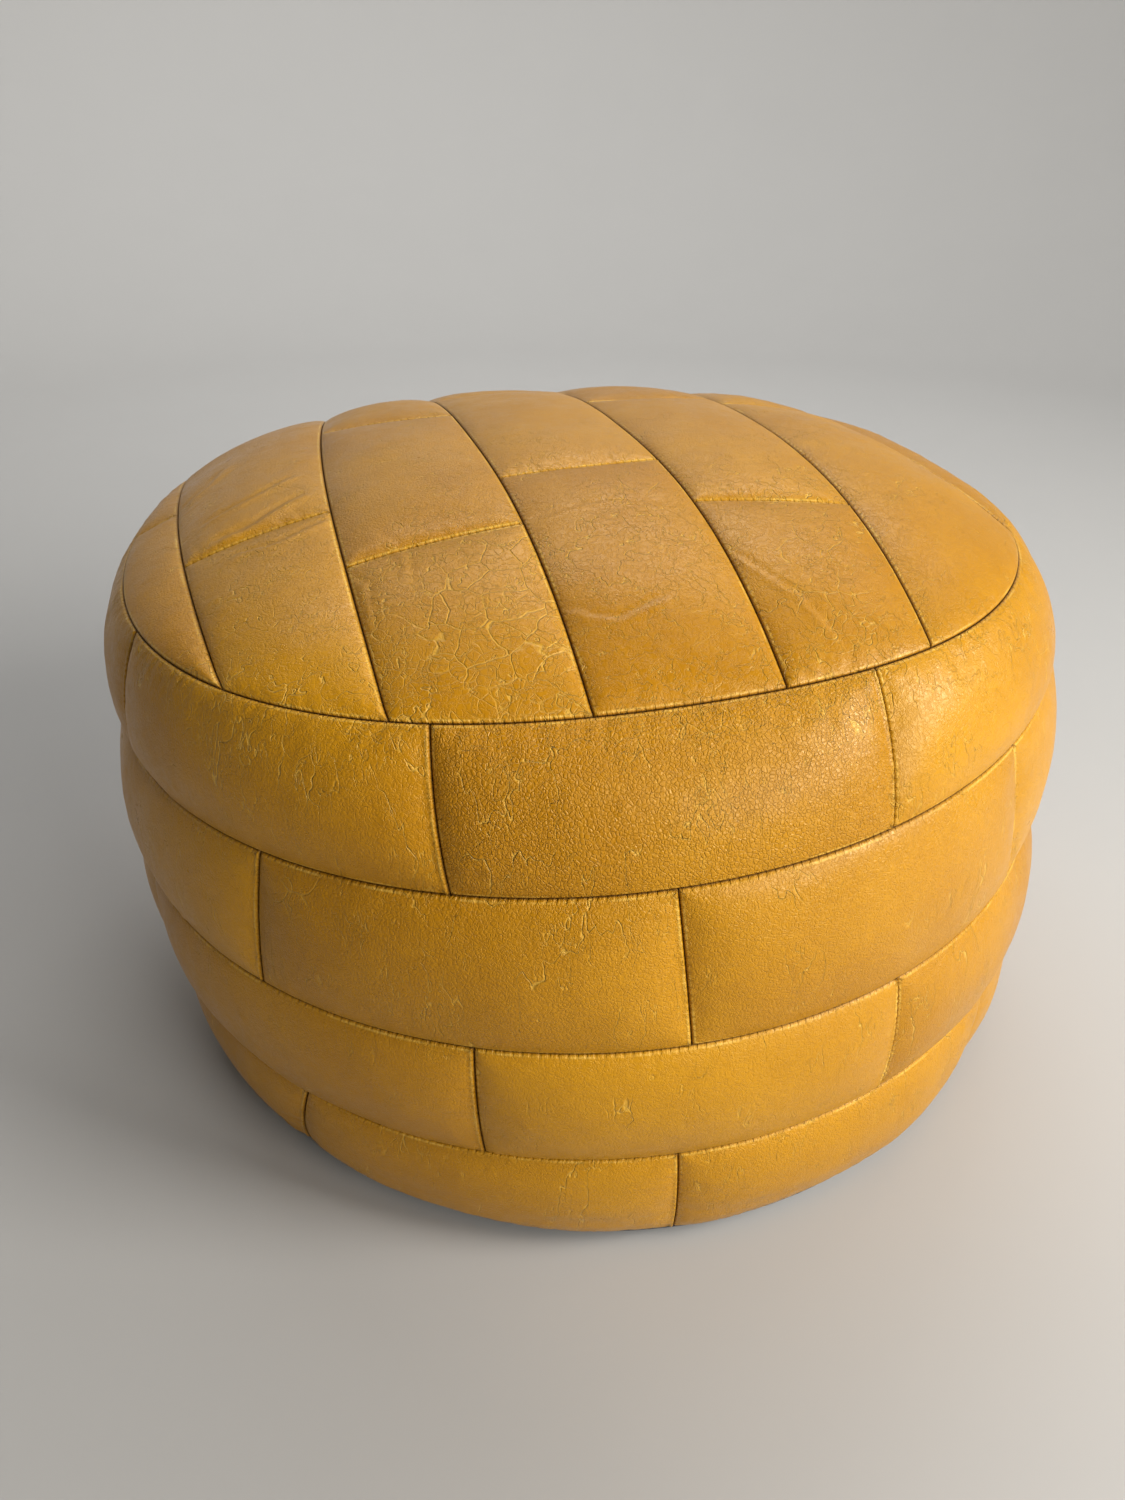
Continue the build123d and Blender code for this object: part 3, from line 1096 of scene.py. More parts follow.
class LeatherCover:
    """The sewn leather cover: cuts the patches, puffs them out and finishes their edges.

    Attributes:
        form: The pouf's settled form.
        plan: The seams' places and the leather's ease.
        finish: The leather's material.
        thread: The sewing thread's material.
        patches: The patches, once cut.
    """

    CLOTH = {
        "use_pressure": True, "uniform_pressure_force": 40.0, "mass": 0.1, "quality": 5,
        "tension_stiffness": 15.0, "compression_stiffness": 15.0, "shear_stiffness": 5.0,
        "bending_stiffness": 0.3,
    }
    SIM_SCALE = 10.0
    SIM_FRAMES = 12
    TOP_FULLNESS = 0.3
    SIDE_FULLNESS = 0.55
    THICKNESS = 1.6 * MM
    EDGE_RADIUS = 1.25 * MM
    SEAM_DIP = 1.3 * MM
    SEAM_DIP_REACH = 4.5 * MM
    MESH_STEP = 1.7 * MM
    STITCH_DEPTH = 2.2 * MM
    STITCH_WIDTH = 1.5 * MM
    STITCH_THICKNESS = 0.45 * MM
    EDGE_STEPS = (0.0, 0.08 * MM, 0.3 * MM, 0.65 * MM, 1.1 * MM, 1.7 * MM, 2.5 * MM, 3.7 * MM)

    def __init__(self, form: Form, plan: CutPlan, finish: bpy.types.Material,
                 thread: bpy.types.Material) -> None:
        """Keep the form, the plan, the leather's finish and the thread's."""
        self.thread = thread
        self.form = form
        self.plan = plan
        self.finish = finish
        self.patches: list[Patch] = []
        self.random = np.random.default_rng(7)

    # -- Cutting
    def cut_side(self) -> None:
        """Lay out the patches of the four bands."""
        rows, count = self.form.rows, self.form.per_row
        for row in range(1, rows + 1):
            ring = rows - row
            starts = []
            for number in range(1, count + 1):
                points = node_points(f"side_patch_{row}_{number}")
                heading = math.atan2(points[:, 1].mean(), points[:, 0].mean())
                turns = np.arctan2(points[:, 1], points[:, 0]) - heading
                turns = (turns + math.pi) % (2 * math.pi) - math.pi
                lean = self.plan.seam_leans.get((row, number), tuple(self.random.uniform(-1.5, 1.5, 2)))
                starts.append(np.radians(lean) + heading + turns.min())
            for number in range(count):
                start, end = starts[number], starts[(number + 1) % count]
                end = end + 2 * math.pi * np.round((start - end).mean() / (2 * math.pi) + 1.0 / count)
                width = float(abs(end - start).mean()) * self.form.rings[ring].radius
                chord = self.form.side(ring, np.array([0.0]), np.array([0.0, 1.0]))
                height = float(np.linalg.norm(chord[1] - chord[0]))
                u = np.linspace(0, 1, round(width / self.plan.step) + 1)[:, None]
                v = np.linspace(0, 1, round(height / self.plan.step) + 1)[None, :]
                first = start[0] + (start[1] - start[0]) * v
                last = end[0] + (end[1] - end[0]) * v
                turn = first + (last - first) * u
                up = np.broadcast_to(v, turn.shape)
                grid = self.form.side(ring, turn, up)
                ease = 1.0 + self.plan.row_ease[row - 1] * self.random.uniform(0.7, 1.3)
                gathered = up if row == 1 else 1.0 - up
                spread = 1.0 + self.plan.row_gather[row - 1] * gathered**2
                rest = grid * ease
                rest[..., :2] *= spread[..., None]
                tone = float(self.random.uniform(0.42, 0.75))
                is_pebbled = (row, number + 1) == self.plan.pebbled
                grain = 1.0 if is_pebbled else float(self.random.uniform(0.25, 0.6))
                self.patches.append(Patch(
                    f"side_patch_{row}_{number + 1}", Region.SIDE, row, grid, rest, tone=tone, grain=grain,
                    gather=self.plan.row_gather[row - 1],
                    sewn=(Edge.START, Edge.HIGH) + ((Edge.LOW,) if row == rows else ()),
                ))

    def cut_top(self) -> None:
        """Lay out the patches of the top's strips."""
        turn = math.radians(self.plan.strip_turn)
        across = np.array([math.cos(turn), math.sin(turn)])
        forward = np.array([math.sin(turn), -math.cos(turn)])
        strips: dict[int, list[tuple[int, np.ndarray]]] = {}
        for name in sorted(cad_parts):
            if name.startswith("top_patch_"):
                strip, number = map(int, name.split("_")[2:])
                strips.setdefault(strip, []).append((number, node_points(name)[:, :2]))
        for strip, parts in sorted(strips.items()):
            parts.sort(key=lambda part: part[0])
            spans = [points @ across for _, points in parts]
            low = min(span.min() for span in spans) + self.plan.strip_shift
            high = max(span.max() for span in spans) + self.plan.strip_shift
            outer = -1 if strip == 1 else 1 if strip == len(strips) else 0
            for place, (number, points) in enumerate(parts):
                cuts = []
                for end, is_rim in ((points, place == 0), (points, place == len(parts) - 1)):
                    key = (strip, number if len(cuts) == 0 else number + 1)
                    run = end @ forward
                    at = (run.min() if len(cuts) == 0 else run.max()) + self.plan.cross_shift
                    skew = self.plan.cross_skews.get(key, (0.0, 0.0))
                    cuts.append(None if is_rim else (at + skew[0], at + skew[1]))
                if outer:
                    grid = self.outer_grid(across, forward, strip, high if outer < 0 else low, outer, cuts)
                else:
                    grid = self.strip_grid(across, forward, strip, low, high, cuts)
                middle = grid.reshape(-1, 3).mean(0)
                front = grid[grid.shape[0] // 2, grid.shape[1] // 2] @ np.array([*forward, 0.0])
                looseness = 1.6 if front > 0.05 else 1.0
                ease = 1.0 + self.plan.top_ease * self.random.uniform(0.6, 1.4) * looseness
                self.patches.append(Patch(
                    f"top_patch_{strip}_{number}", Region.TOP, strip, grid, middle + (grid - middle) * ease,
                    tone=float(self.random.uniform(0.3, 0.6)), grain=float(self.random.uniform(0.1, 0.5)),
                    sewn=((Edge.END,) if outer <= 0 else ()) + ((Edge.LOW,) if cuts[1] else ()),
                ))

    def strip_grid(self, across: np.ndarray, forward: np.ndarray, strip: int, low: float, high: float,
                   cuts: list) -> np.ndarray:
        """Grid of a patch between two long seams of the top.

        Args:
            across: Direction across the strips, from above.
            forward: Direction along them, to the front.
            strip: The strip's number.
            low: Place of the left seam across the strips.
            high: Place of the right seam.
            cuts: For the rear and front ends, the cross seam's left and right places, or None at
                the top seam.

        Returns:
            The grid, with its first axis across the strip and its second from front to rear.
        """
        side = np.linspace(0, 1, round((high - low) / self.plan.step) + 1)

        def beside(share: np.ndarray, along: np.ndarray) -> np.ndarray:
            left = low + self.plan.bend(strip - 1, along)
            right = high + self.plan.bend(strip, along)
            return left + (right - left) * share

        ends = []
        for cut, sense in zip(cuts, (-1.0, 1.0)):
            if cut is None:
                end = np.zeros_like(side)
                for _ in range(6):
                    start = beside(side, end)[:, None] * across
                    end = sense * self.form.crown.reach(start, sense * forward)
            else:
                end = cut[0] + (cut[1] - cut[0]) * side
            ends.append(end)
        rear, front = ends
        length = float((front - rear).max())
        run = np.linspace(0, 1, round(length / self.plan.step) + 1)
        along = front[:, None] + (rear - front)[:, None] * run
        flat = beside(side[:, None], along)[..., None] * across + along[..., None] * forward
        return np.concatenate([flat, self.form.crown.heights(flat)[..., None]], -1)

    def outer_grid(self, across: np.ndarray, forward: np.ndarray, strip: int, seam: float, outer: int,
                   cuts: list) -> np.ndarray:
        """Grid of a patch between the outermost long seam and the top seam.

        Args:
            across: Direction across the strips, from above.
            forward: Direction along them, to the front.
            strip: The strip's number.
            seam: Place of the long seam across the strips.
            outer: -1 on the left, 1 on the right.
            cuts: As for a patch between two long seams.

        Returns:
            The grid, laid out like the others.
        """
        number = strip if outer < 0 else strip - 1
        tips = []
        for sense in (-1.0, 1.0):
            tip = 0.0
            for _ in range(6):
                corner = np.array([(seam + self.plan.bend(number, tip)) * across])
                tip = sense * float(self.form.crown.reach(corner, sense * forward)[0])
            tips.append(tip)
        ends = [tip if cut is None else sum(cut) / 2 for cut, tip in zip(cuts, tips)]
        run = np.linspace(0, 1, round((ends[1] - ends[0]) / self.plan.step) + 1)
        along = ends[1] + (ends[0] - ends[1]) * run
        start = (seam + self.plan.bend(number, along))[:, None] * across + along[:, None] * forward
        width = np.maximum(self.form.crown.reach(start, outer * across), 0.4 * MM)
        side = np.linspace(0, 1, round(float(width.max()) / self.plan.step) + 1)
        share = side if outer > 0 else side - 1.0
        flat = start[None, :, :] + (share[:, None] * width)[..., None] * across
        return np.concatenate([flat, self.form.crown.heights(flat)[..., None]], -1)

    def seam_places(self, pitch: float, depth: float) -> Places:
        """Where the seams' stitches cross, one pitch apart.

        Args:
            pitch: Distance between stitches, in metres.
            depth: How far they lie below the leather's surface, in metres.

        Returns:
            The places of the stitches.
        """
        found = []
        for patch in self.patches:
            normals = grid_normals(patch.grid)
            for edge in patch.sewn:
                line, out = edge.of(patch.grid), edge.of(normals)
                if patch.region is Region.SIDE and patch.row == 1 and edge is Edge.HIGH:
                    out = out + np.array([0.0, 0.0, 1.0])
                found.append(Places.along(line, out, pitch, depth))
        return Places.together(found)

    # -- Puffing
    def puff(self) -> None:
        """Blow the patches out between their seams in one cloth simulation."""
        points, rests, faces, pins, starts = [], [], [], [], []
        first = 0
        for patch in self.patches:
            rows, columns = patch.grid.shape[:2]
            normals = grid_normals(patch.grid)
            u, v = np.linspace(0, 1, rows)[:, None], np.linspace(0, 1, columns)[None, :]
            room = (16 * u * (1 - u) * v * (1 - v))[..., None]
            ripple = self.random.normal(0.0, 0.35 * MM, (rows, columns, 1)) * (room > 0)
            start = patch.grid + normals * (2.0 * MM * room + ripple)
            points.append(start.reshape(-1, 3))
            rests.append(patch.rest.reshape(-1, 3))
            faces.append(grid_faces(rows, columns, first))
            pins.append(border(rows, columns) + first)
            starts.append(first)
            first += rows * columns
        puffed = self.simulate(np.concatenate(points), np.concatenate(rests), np.concatenate(faces),
                               np.concatenate(pins))
        for patch, start in zip(self.patches, starts):
            count = patch.grid.shape[0] * patch.grid.shape[1]
            moved = puffed[start:start + count].reshape(patch.grid.shape) - patch.grid
            share = self.TOP_FULLNESS if patch.region is Region.TOP else self.SIDE_FULLNESS
            patch.grid = patch.grid + moved * share

    def simulate(self, points: np.ndarray, rests: np.ndarray, faces: np.ndarray,
                 pins: np.ndarray) -> np.ndarray:
        """Run Blender's cloth on every patch at once, held at the seams.

        Args:
            points: Starting places of the vertices.
            rests: Their places in the leather as cut.
            faces: Quads.
            pins: Vertices that the seams hold.

        Returns:
            The settled vertices, in metres.
        """
        cloth_object = make_object("cover_cloth", points * self.SIM_SCALE, faces, None)
        held = cloth_object.vertex_groups.new(name="seams")
        held.add(pins.tolist(), 1.0, "REPLACE")
        cloth_object.shape_key_add(name="as_sewn")
        cut = cloth_object.shape_key_add(name="as_cut")
        cut.data.foreach_set("co", (rests * self.SIM_SCALE).astype(np.float32).ravel())
        cloth = cloth_object.modifiers.new("puff", "CLOTH")
        settings = cloth.settings
        settings.rest_shape_key = cut
        settings.vertex_group_mass = held.name
        for name, value in self.CLOTH.items():
            setattr(settings, name, value)
        settings.effector_weights.gravity = 0.0
        cloth.collision_settings.use_collision = False
        scene = bpy.context.scene
        scene.frame_start, scene.frame_end = 1, self.SIM_FRAMES
        cloth.point_cache.frame_end = self.SIM_FRAMES
        for step in range(1, self.SIM_FRAMES + 1):
            scene.frame_set(step)
        settled = cloth_object.evaluated_get(bpy.context.evaluated_depsgraph_get())
        flat = np.zeros(len(points) * 3, np.float32)
        settled.data.vertices.foreach_get("co", flat)
        scene.frame_set(1)
        bpy.data.objects.remove(cloth_object)
        moved = flat.reshape(-1, 3).astype(float) / self.SIM_SCALE
        return np.where(np.isfinite(moved), moved, points)

    # -- Finishing
    def refine(self, patch: Patch) -> tuple[np.ndarray, dict[str, np.ndarray]]:
        """Give a puffed patch its fine mesh, rolled edges and creases.

        Args:
            patch: The patch.

        Returns:
            The fine grid and its shading values.
        """
        length = float(run_lengths(patch.grid, 0)[0][-1].mean())
        width = float(run_lengths(patch.grid, 1)[0][:, -1].max())
        u = graded_params(length, self.MESH_STEP, self.EDGE_STEPS)
        v = graded_params(width, self.MESH_STEP, self.EDGE_STEPS)
        along_u = resample_weights(patch.grid.shape[0], u)
        along_v = resample_weights(patch.grid.shape[1], v)
        grid = np.einsum("ai,ijk,bj->abk", along_u, patch.grid, along_v)
        normals = grid_normals(grid)
        run_u, left_u = run_lengths(grid, 0)
        run_v, left_v = run_lengths(grid, 1)
        near_u, near_v = np.minimum(run_u, left_u), np.minimum(run_v, left_v)
        roll = self.roll(near_u) + self.roll(near_v)
        seam = np.minimum(near_u, near_v)
        along = np.where(near_u < near_v, run_v, run_u)
        creases = self.creases(patch, grid, run_u, run_v, left_v)
        free = smooth(seam / (4.0 * MM))
        dip = self.SEAM_DIP * np.exp(-seam / self.SEAM_DIP_REACH)
        inward = self.inward(patch, grid, left_v)
        grid = grid - inward * (np.minimum(roll, 1.3 * self.EDGE_RADIUS) + dip)[..., None]
        near, run = (left_u, run_v) if patch.region is Region.SIDE else (left_v, run_u)
        lip = self.lip(patch, near, run)
        grid = grid + normals * (creases * free + lip)[..., None]
        values = {
            "seam": seam / MM,
            "along": along,
            "wear": self.wear(patch, grid, left_v),
            "tone": np.full(seam.shape, patch.tone),
            "grain": np.full(seam.shape, patch.grain),
        }
        return grid, values

    def inward(self, patch: Patch, grid: np.ndarray, left_v: np.ndarray) -> np.ndarray:
        """The way that the leather turns in at a seam, the same for the patches on both sides.

        Args:
            patch: The patch.
            grid: Its fine grid.
            left_v: Distances left across it.

        Returns:
            Unit directions, pointing out.
        """
        turn = np.arctan2(grid[..., 1], grid[..., 0])
        radial = np.stack([np.cos(turn), np.sin(turn), np.zeros_like(turn)], -1)
        corner = radial + np.array([0.0, 0.0, 1.0])
        if patch.region is Region.TOP:
            reach = np.hypot(grid[..., 0], grid[..., 1]) / self.form.crown.rim.radii(turn)
            gap = (1.0 - reach) * self.form.crown.rim.radius
            facing = radial * (0.5 * np.clip(reach, 0, 1) ** 2)[..., None] + np.array([0.0, 0.0, 1.0])
        else:
            gap = left_v if patch.row == 1 else np.full(left_v.shape, 1.0)
            facing = radial
        facing = facing / np.linalg.norm(facing, axis=-1, keepdims=True)
        corner = corner / math.sqrt(2.0)
        shared = facing + (corner - facing) * smooth(1.0 - gap / (6.0 * MM))[..., None]
        return shared / np.linalg.norm(shared, axis=-1, keepdims=True)

    def wear(self, patch: Patch, grid: np.ndarray, left_v: np.ndarray) -> np.ndarray:
        """How creased and rubbed the leather is, from 0 to 1."""
        forward = smooth((0.06 - grid[..., 1]) / 0.22)
        if patch.region is Region.TOP:
            worn = self.plan.worn.get(patch.name, self.random.uniform(0.3, 0.6))
            return 0.2 + forward * (worn - 0.2)
        if patch.row == 1:
            return (0.25 + 0.75 * np.exp(-left_v / (24 * MM))) * self.random.uniform(0.7, 1.0)
        return np.full(left_v.shape, self.random.uniform(0.12, 0.4))

    def lip(self, patch: Patch, near: np.ndarray, run: np.ndarray) -> np.ndarray:
        """Height of the lip where one patch's edge stands proud of the next, scalloped by the stitches.

        Args:
            patch: The patch.
            near: Distances to the edge.
            run: Distances along the edge.

        Returns:
            Heights in metres.
        """
        tall = 0.75 * MM if patch.region is Region.SIDE else 0.35 * MM
        scallop = 1.0 + 0.22 * np.cos(2 * math.pi * run / STITCH_PITCH)
        return tall * scallop * np.exp(-(((near - 1.0 * MM) / (0.75 * MM)) ** 2))

    def roll(self, near: np.ndarray) -> np.ndarray:
        """How far the leather turns in at a distance from its edge."""
        inside = np.clip(self.EDGE_RADIUS - near, 0.0, self.EDGE_RADIUS)
        return self.EDGE_RADIUS - np.sqrt(np.maximum(self.EDGE_RADIUS**2 - inside**2, 0.0))

    def creases(self, patch: Patch, grid: np.ndarray, run_u: np.ndarray, run_v: np.ndarray,
                left_v: np.ndarray) -> np.ndarray:
        """Heights of a patch's creases and unevenness, in metres.

        Args:
            patch: The patch.
            grid: Its fine grid.
            run_u: Distances along it.
            run_v: Distances across it.
            left_v: Distances left across it.

        Returns:
            Heights along the normals.
        """
        seed = int(self.random.integers(1, 10_000))
        noise = ValueNoise(seed)
        near_u = np.minimum(run_u, run_u[-1] - run_u)
        flat = np.zeros_like(run_u)
        # Soft dents where the filling is lumpy
        height = 0.4 * MM * noise.at(grid / (27 * MM)) + 0.12 * MM * noise.at(grid / (8 * MM))
        # Gathers: short folds that run in from the top seam, or from the base seam
        edge = left_v if patch.region is Region.SIDE and patch.row == 1 else run_v
        if patch.gather or patch.region is Region.TOP:
            warp = noise.at(np.stack([run_u / (11 * MM), edge / (14 * MM), flat], -1))
            folds = noise.at(np.stack([run_u / (3.6 * MM) + 0.9 * warp, edge / (30 * MM), flat + 5.3], -1))
            height -= (0.5 * MM + 8 * MM * patch.gather) * np.exp(-edge / (10 * MM)) * self.pinch(folds)
        if patch.region is Region.SIDE:
            # Puckers that run away from the seams between patches
            warp = noise.at(np.stack([run_v / (9 * MM), run_u / (16 * MM), flat + 2.1], -1))
            folds = noise.at(np.stack([run_v / (4.2 * MM) + 0.8 * warp, run_u / (26 * MM), flat + 9.7], -1))
            height -= 0.4 * MM * np.exp(-near_u / (12 * MM)) * self.pinch(folds)
        else:
            across = grid[..., :2] + 1.3 * MM * noise.at(grid / (6 * MM))[..., None]
            for fold in self.plan.folds:
                height += fold.heights(across)
        if patch.region is Region.SIDE and patch.row == self.form.rows:
            # Long level folds where the band rolls under
            rolls = noise.at(np.stack([run_u / (75 * MM), run_v / (8 * MM), flat + 3.9], -1))
            height += 0.9 * MM * rolls * smooth(1.0 - run_v / (48 * MM))
        return height

    @staticmethod
    def pinch(folds: np.ndarray) -> np.ndarray:
        """Narrow valleys where noise crosses zero."""
        return np.clip(1 - 3 * np.abs(folds), 0, 1)

    def build(self) -> list[bpy.types.Object]:
        """Cut, puff and finish every patch.

        Returns:
            The finished pieces.
        """
        self.cut_side()
        self.cut_top()
        stitches = self.seam_places(STITCH_PITCH, self.STITCH_DEPTH)
        self.puff()
        pieces = [self.sew(stitches)]
        for patch in self.patches:
            grid, values = self.refine(patch)
            piece = self.solid(patch, grid, values)
            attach(piece, POUF_BODY)
            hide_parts(patch.name)
            pieces.append(piece)
        return pieces

    def sew(self, places: Places) -> bpy.types.Object:
        """Make the thread that shows in the seams' grooves."""
        thread = Thread(self.STITCH_WIDTH, self.STITCH_THICKNESS).build()
        stitches = Repeat("seam_stitching", jitter=0.12, seed=3).build("cover_stitches", places, thread,
                                                                     self.thread)
        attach(stitches, POUF_BODY)
        return stitches

    def solid(self, patch: Patch, grid: np.ndarray, values: dict[str, np.ndarray]) -> bpy.types.Object:
        """Close a patch with its flesh side, set in by the leather's thickness.

        Args:
            patch: The patch.
            grid: Its fine grain side.
            values: Shading values of the grain side.

        Returns:
            The finished piece.
        """
        rows, columns = grid.shape[:2]
        pick_u = np.unique(np.linspace(0, rows - 1, max(4, rows // 4)).astype(int))
        pick_v = np.unique(np.linspace(0, columns - 1, max(4, columns // 4)).astype(int))
        inner = (grid - grid_normals(grid) * self.THICKNESS)[np.ix_(pick_u, pick_v)]
        faces = [tuple(face) for face in grid_faces(rows, columns)]
        first = rows * columns
        faces += [tuple(face) for face in grid_faces(len(pick_u), len(pick_v), first, flip=True)]
        outline = border(rows, columns)
        back = border(len(pick_u), len(pick_v)) + first
        fine_of = {}
        for k in back:
            row, column = divmod(int(k) - first, len(pick_v))
            fine_of[int(pick_u[row]) * columns + int(pick_v[column])] = k
        current = fine_of[int(outline[0])]
        for here, after in zip(outline, np.roll(outline, -1)):
            following = fine_of.get(int(after))
            if following is None:
                faces.append((int(after), int(here), int(current)))
            else:
                faces.append((int(after), int(here), int(current), int(following)))
                current = following
        points = np.concatenate([grid.reshape(-1, 3), inner.reshape(-1, 3)])
        piece = make_object(f"leather_{patch.name}", points, faces, self.finish)
        for name, value in values.items():
            back_value = value[np.ix_(pick_u, pick_v)]
            point_values(piece, name, np.concatenate([value.ravel(), back_value.ravel()]))
        return piece


# ---- Inside and underneath ---------------------------------------------------------------------
def closed_sheet(name: str, outer: np.ndarray, inner: np.ndarray,
                 material: bpy.types.Material) -> bpy.types.Object:
    """Close two grids of the same size into one piece, joined along their borders.

    Args:
        name: The piece's name.
        outer: Points of one face.
        inner: Points of the other.
        material: The finish.

    Returns:
        The piece, with doubles merged and its faces outward.
    """
    rows, columns = outer.shape[:2]
    first = rows * columns
    edge = border(rows, columns)
    walls = [(a, b, b + first, a + first) for a, b in zip(np.roll(edge, -1), edge)]
    faces = [*grid_faces(rows, columns), *grid_faces(rows, columns, first, flip=True), *walls]
    piece = make_object(name, np.concatenate([outer.reshape(-1, 3), inner.reshape(-1, 3)]), faces, material)
    return close(piece)


@dataclass(frozen=True)
class Inside:
    """The calico lining and the cotton filling that it holds.

    Attributes:
        depth: How far the lining lies inside the cover's surface, in metres.
        cloth: The lining's thickness.
    """

    depth: float = 5.2 * MM
    cloth: float = 0.7 * MM

    def build(self, form: Form) -> list[bpy.types.Object]:
        """Make the lining's cover and base, and the filling.

        Args:
            form: The pouf's settled form.

        Returns:
            The finished pieces.
        """
        calico = WovenFinish("liner_calico", (0.74, 0.68, 0.55, 1.0), 0.9 * MM, 0.12 * MM).build()
        cotton = WovenFinish("cotton_filling", (0.72, 0.66, 0.54, 1.0), 3.1 * MM, 0.5 * MM, 0.6).build()
        low = float(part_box("liner_base")[1][2]) + 0.4 * MM
        shells = []
        for extra in (0.0, self.cloth, 2 * self.cloth):
            skin = form.skin(self.depth + extra)
            lumps = ValueNoise(11).at(skin / (60 * MM)) * 1.2 * MM
            skin[..., :2] *= 1.0 + (lumps / 0.25)[..., None] * (skin[..., 2:] > low)
            skin[..., 2] = np.maximum(skin[..., 2], low)
            shells.append(skin)
        pieces = [closed_sheet("lining_cover", shells[0], shells[1], calico)]
        rim = shells[1][:, 0]
        part = np.linspace(1, 0, 14)[None, :, None]
        disc = rim[:, None, :] * part * np.array([1.0, 1.0, 0.0])
        disc[..., 2] = low - 0.2 * MM
        pieces.append(closed_sheet("lining_base", disc, disc - np.array([0, 0, self.cloth * 0.7]), calico))
        floor_part = np.linspace(0, 1, shells[2].shape[1])[None, :, None]
        under = shells[2][:, :1] * (1 - floor_part) * np.array([1.0, 1.0, 0.0])
        under[..., 2] = low + 0.3 * MM
        over = shells[2].copy()
        over[..., 2] = np.maximum(over[..., 2], low + 0.3 * MM)
        pieces.append(closed_sheet("filling_ball", over, under, cotton))
        for piece, node, slot in zip(pieces, ("liner_cover", "liner_base", "filling"),
                                     ("liner_calico", "liner_calico", "cotton_filling")):
            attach(piece, POUF_BODY)
            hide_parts(node)
        return pieces


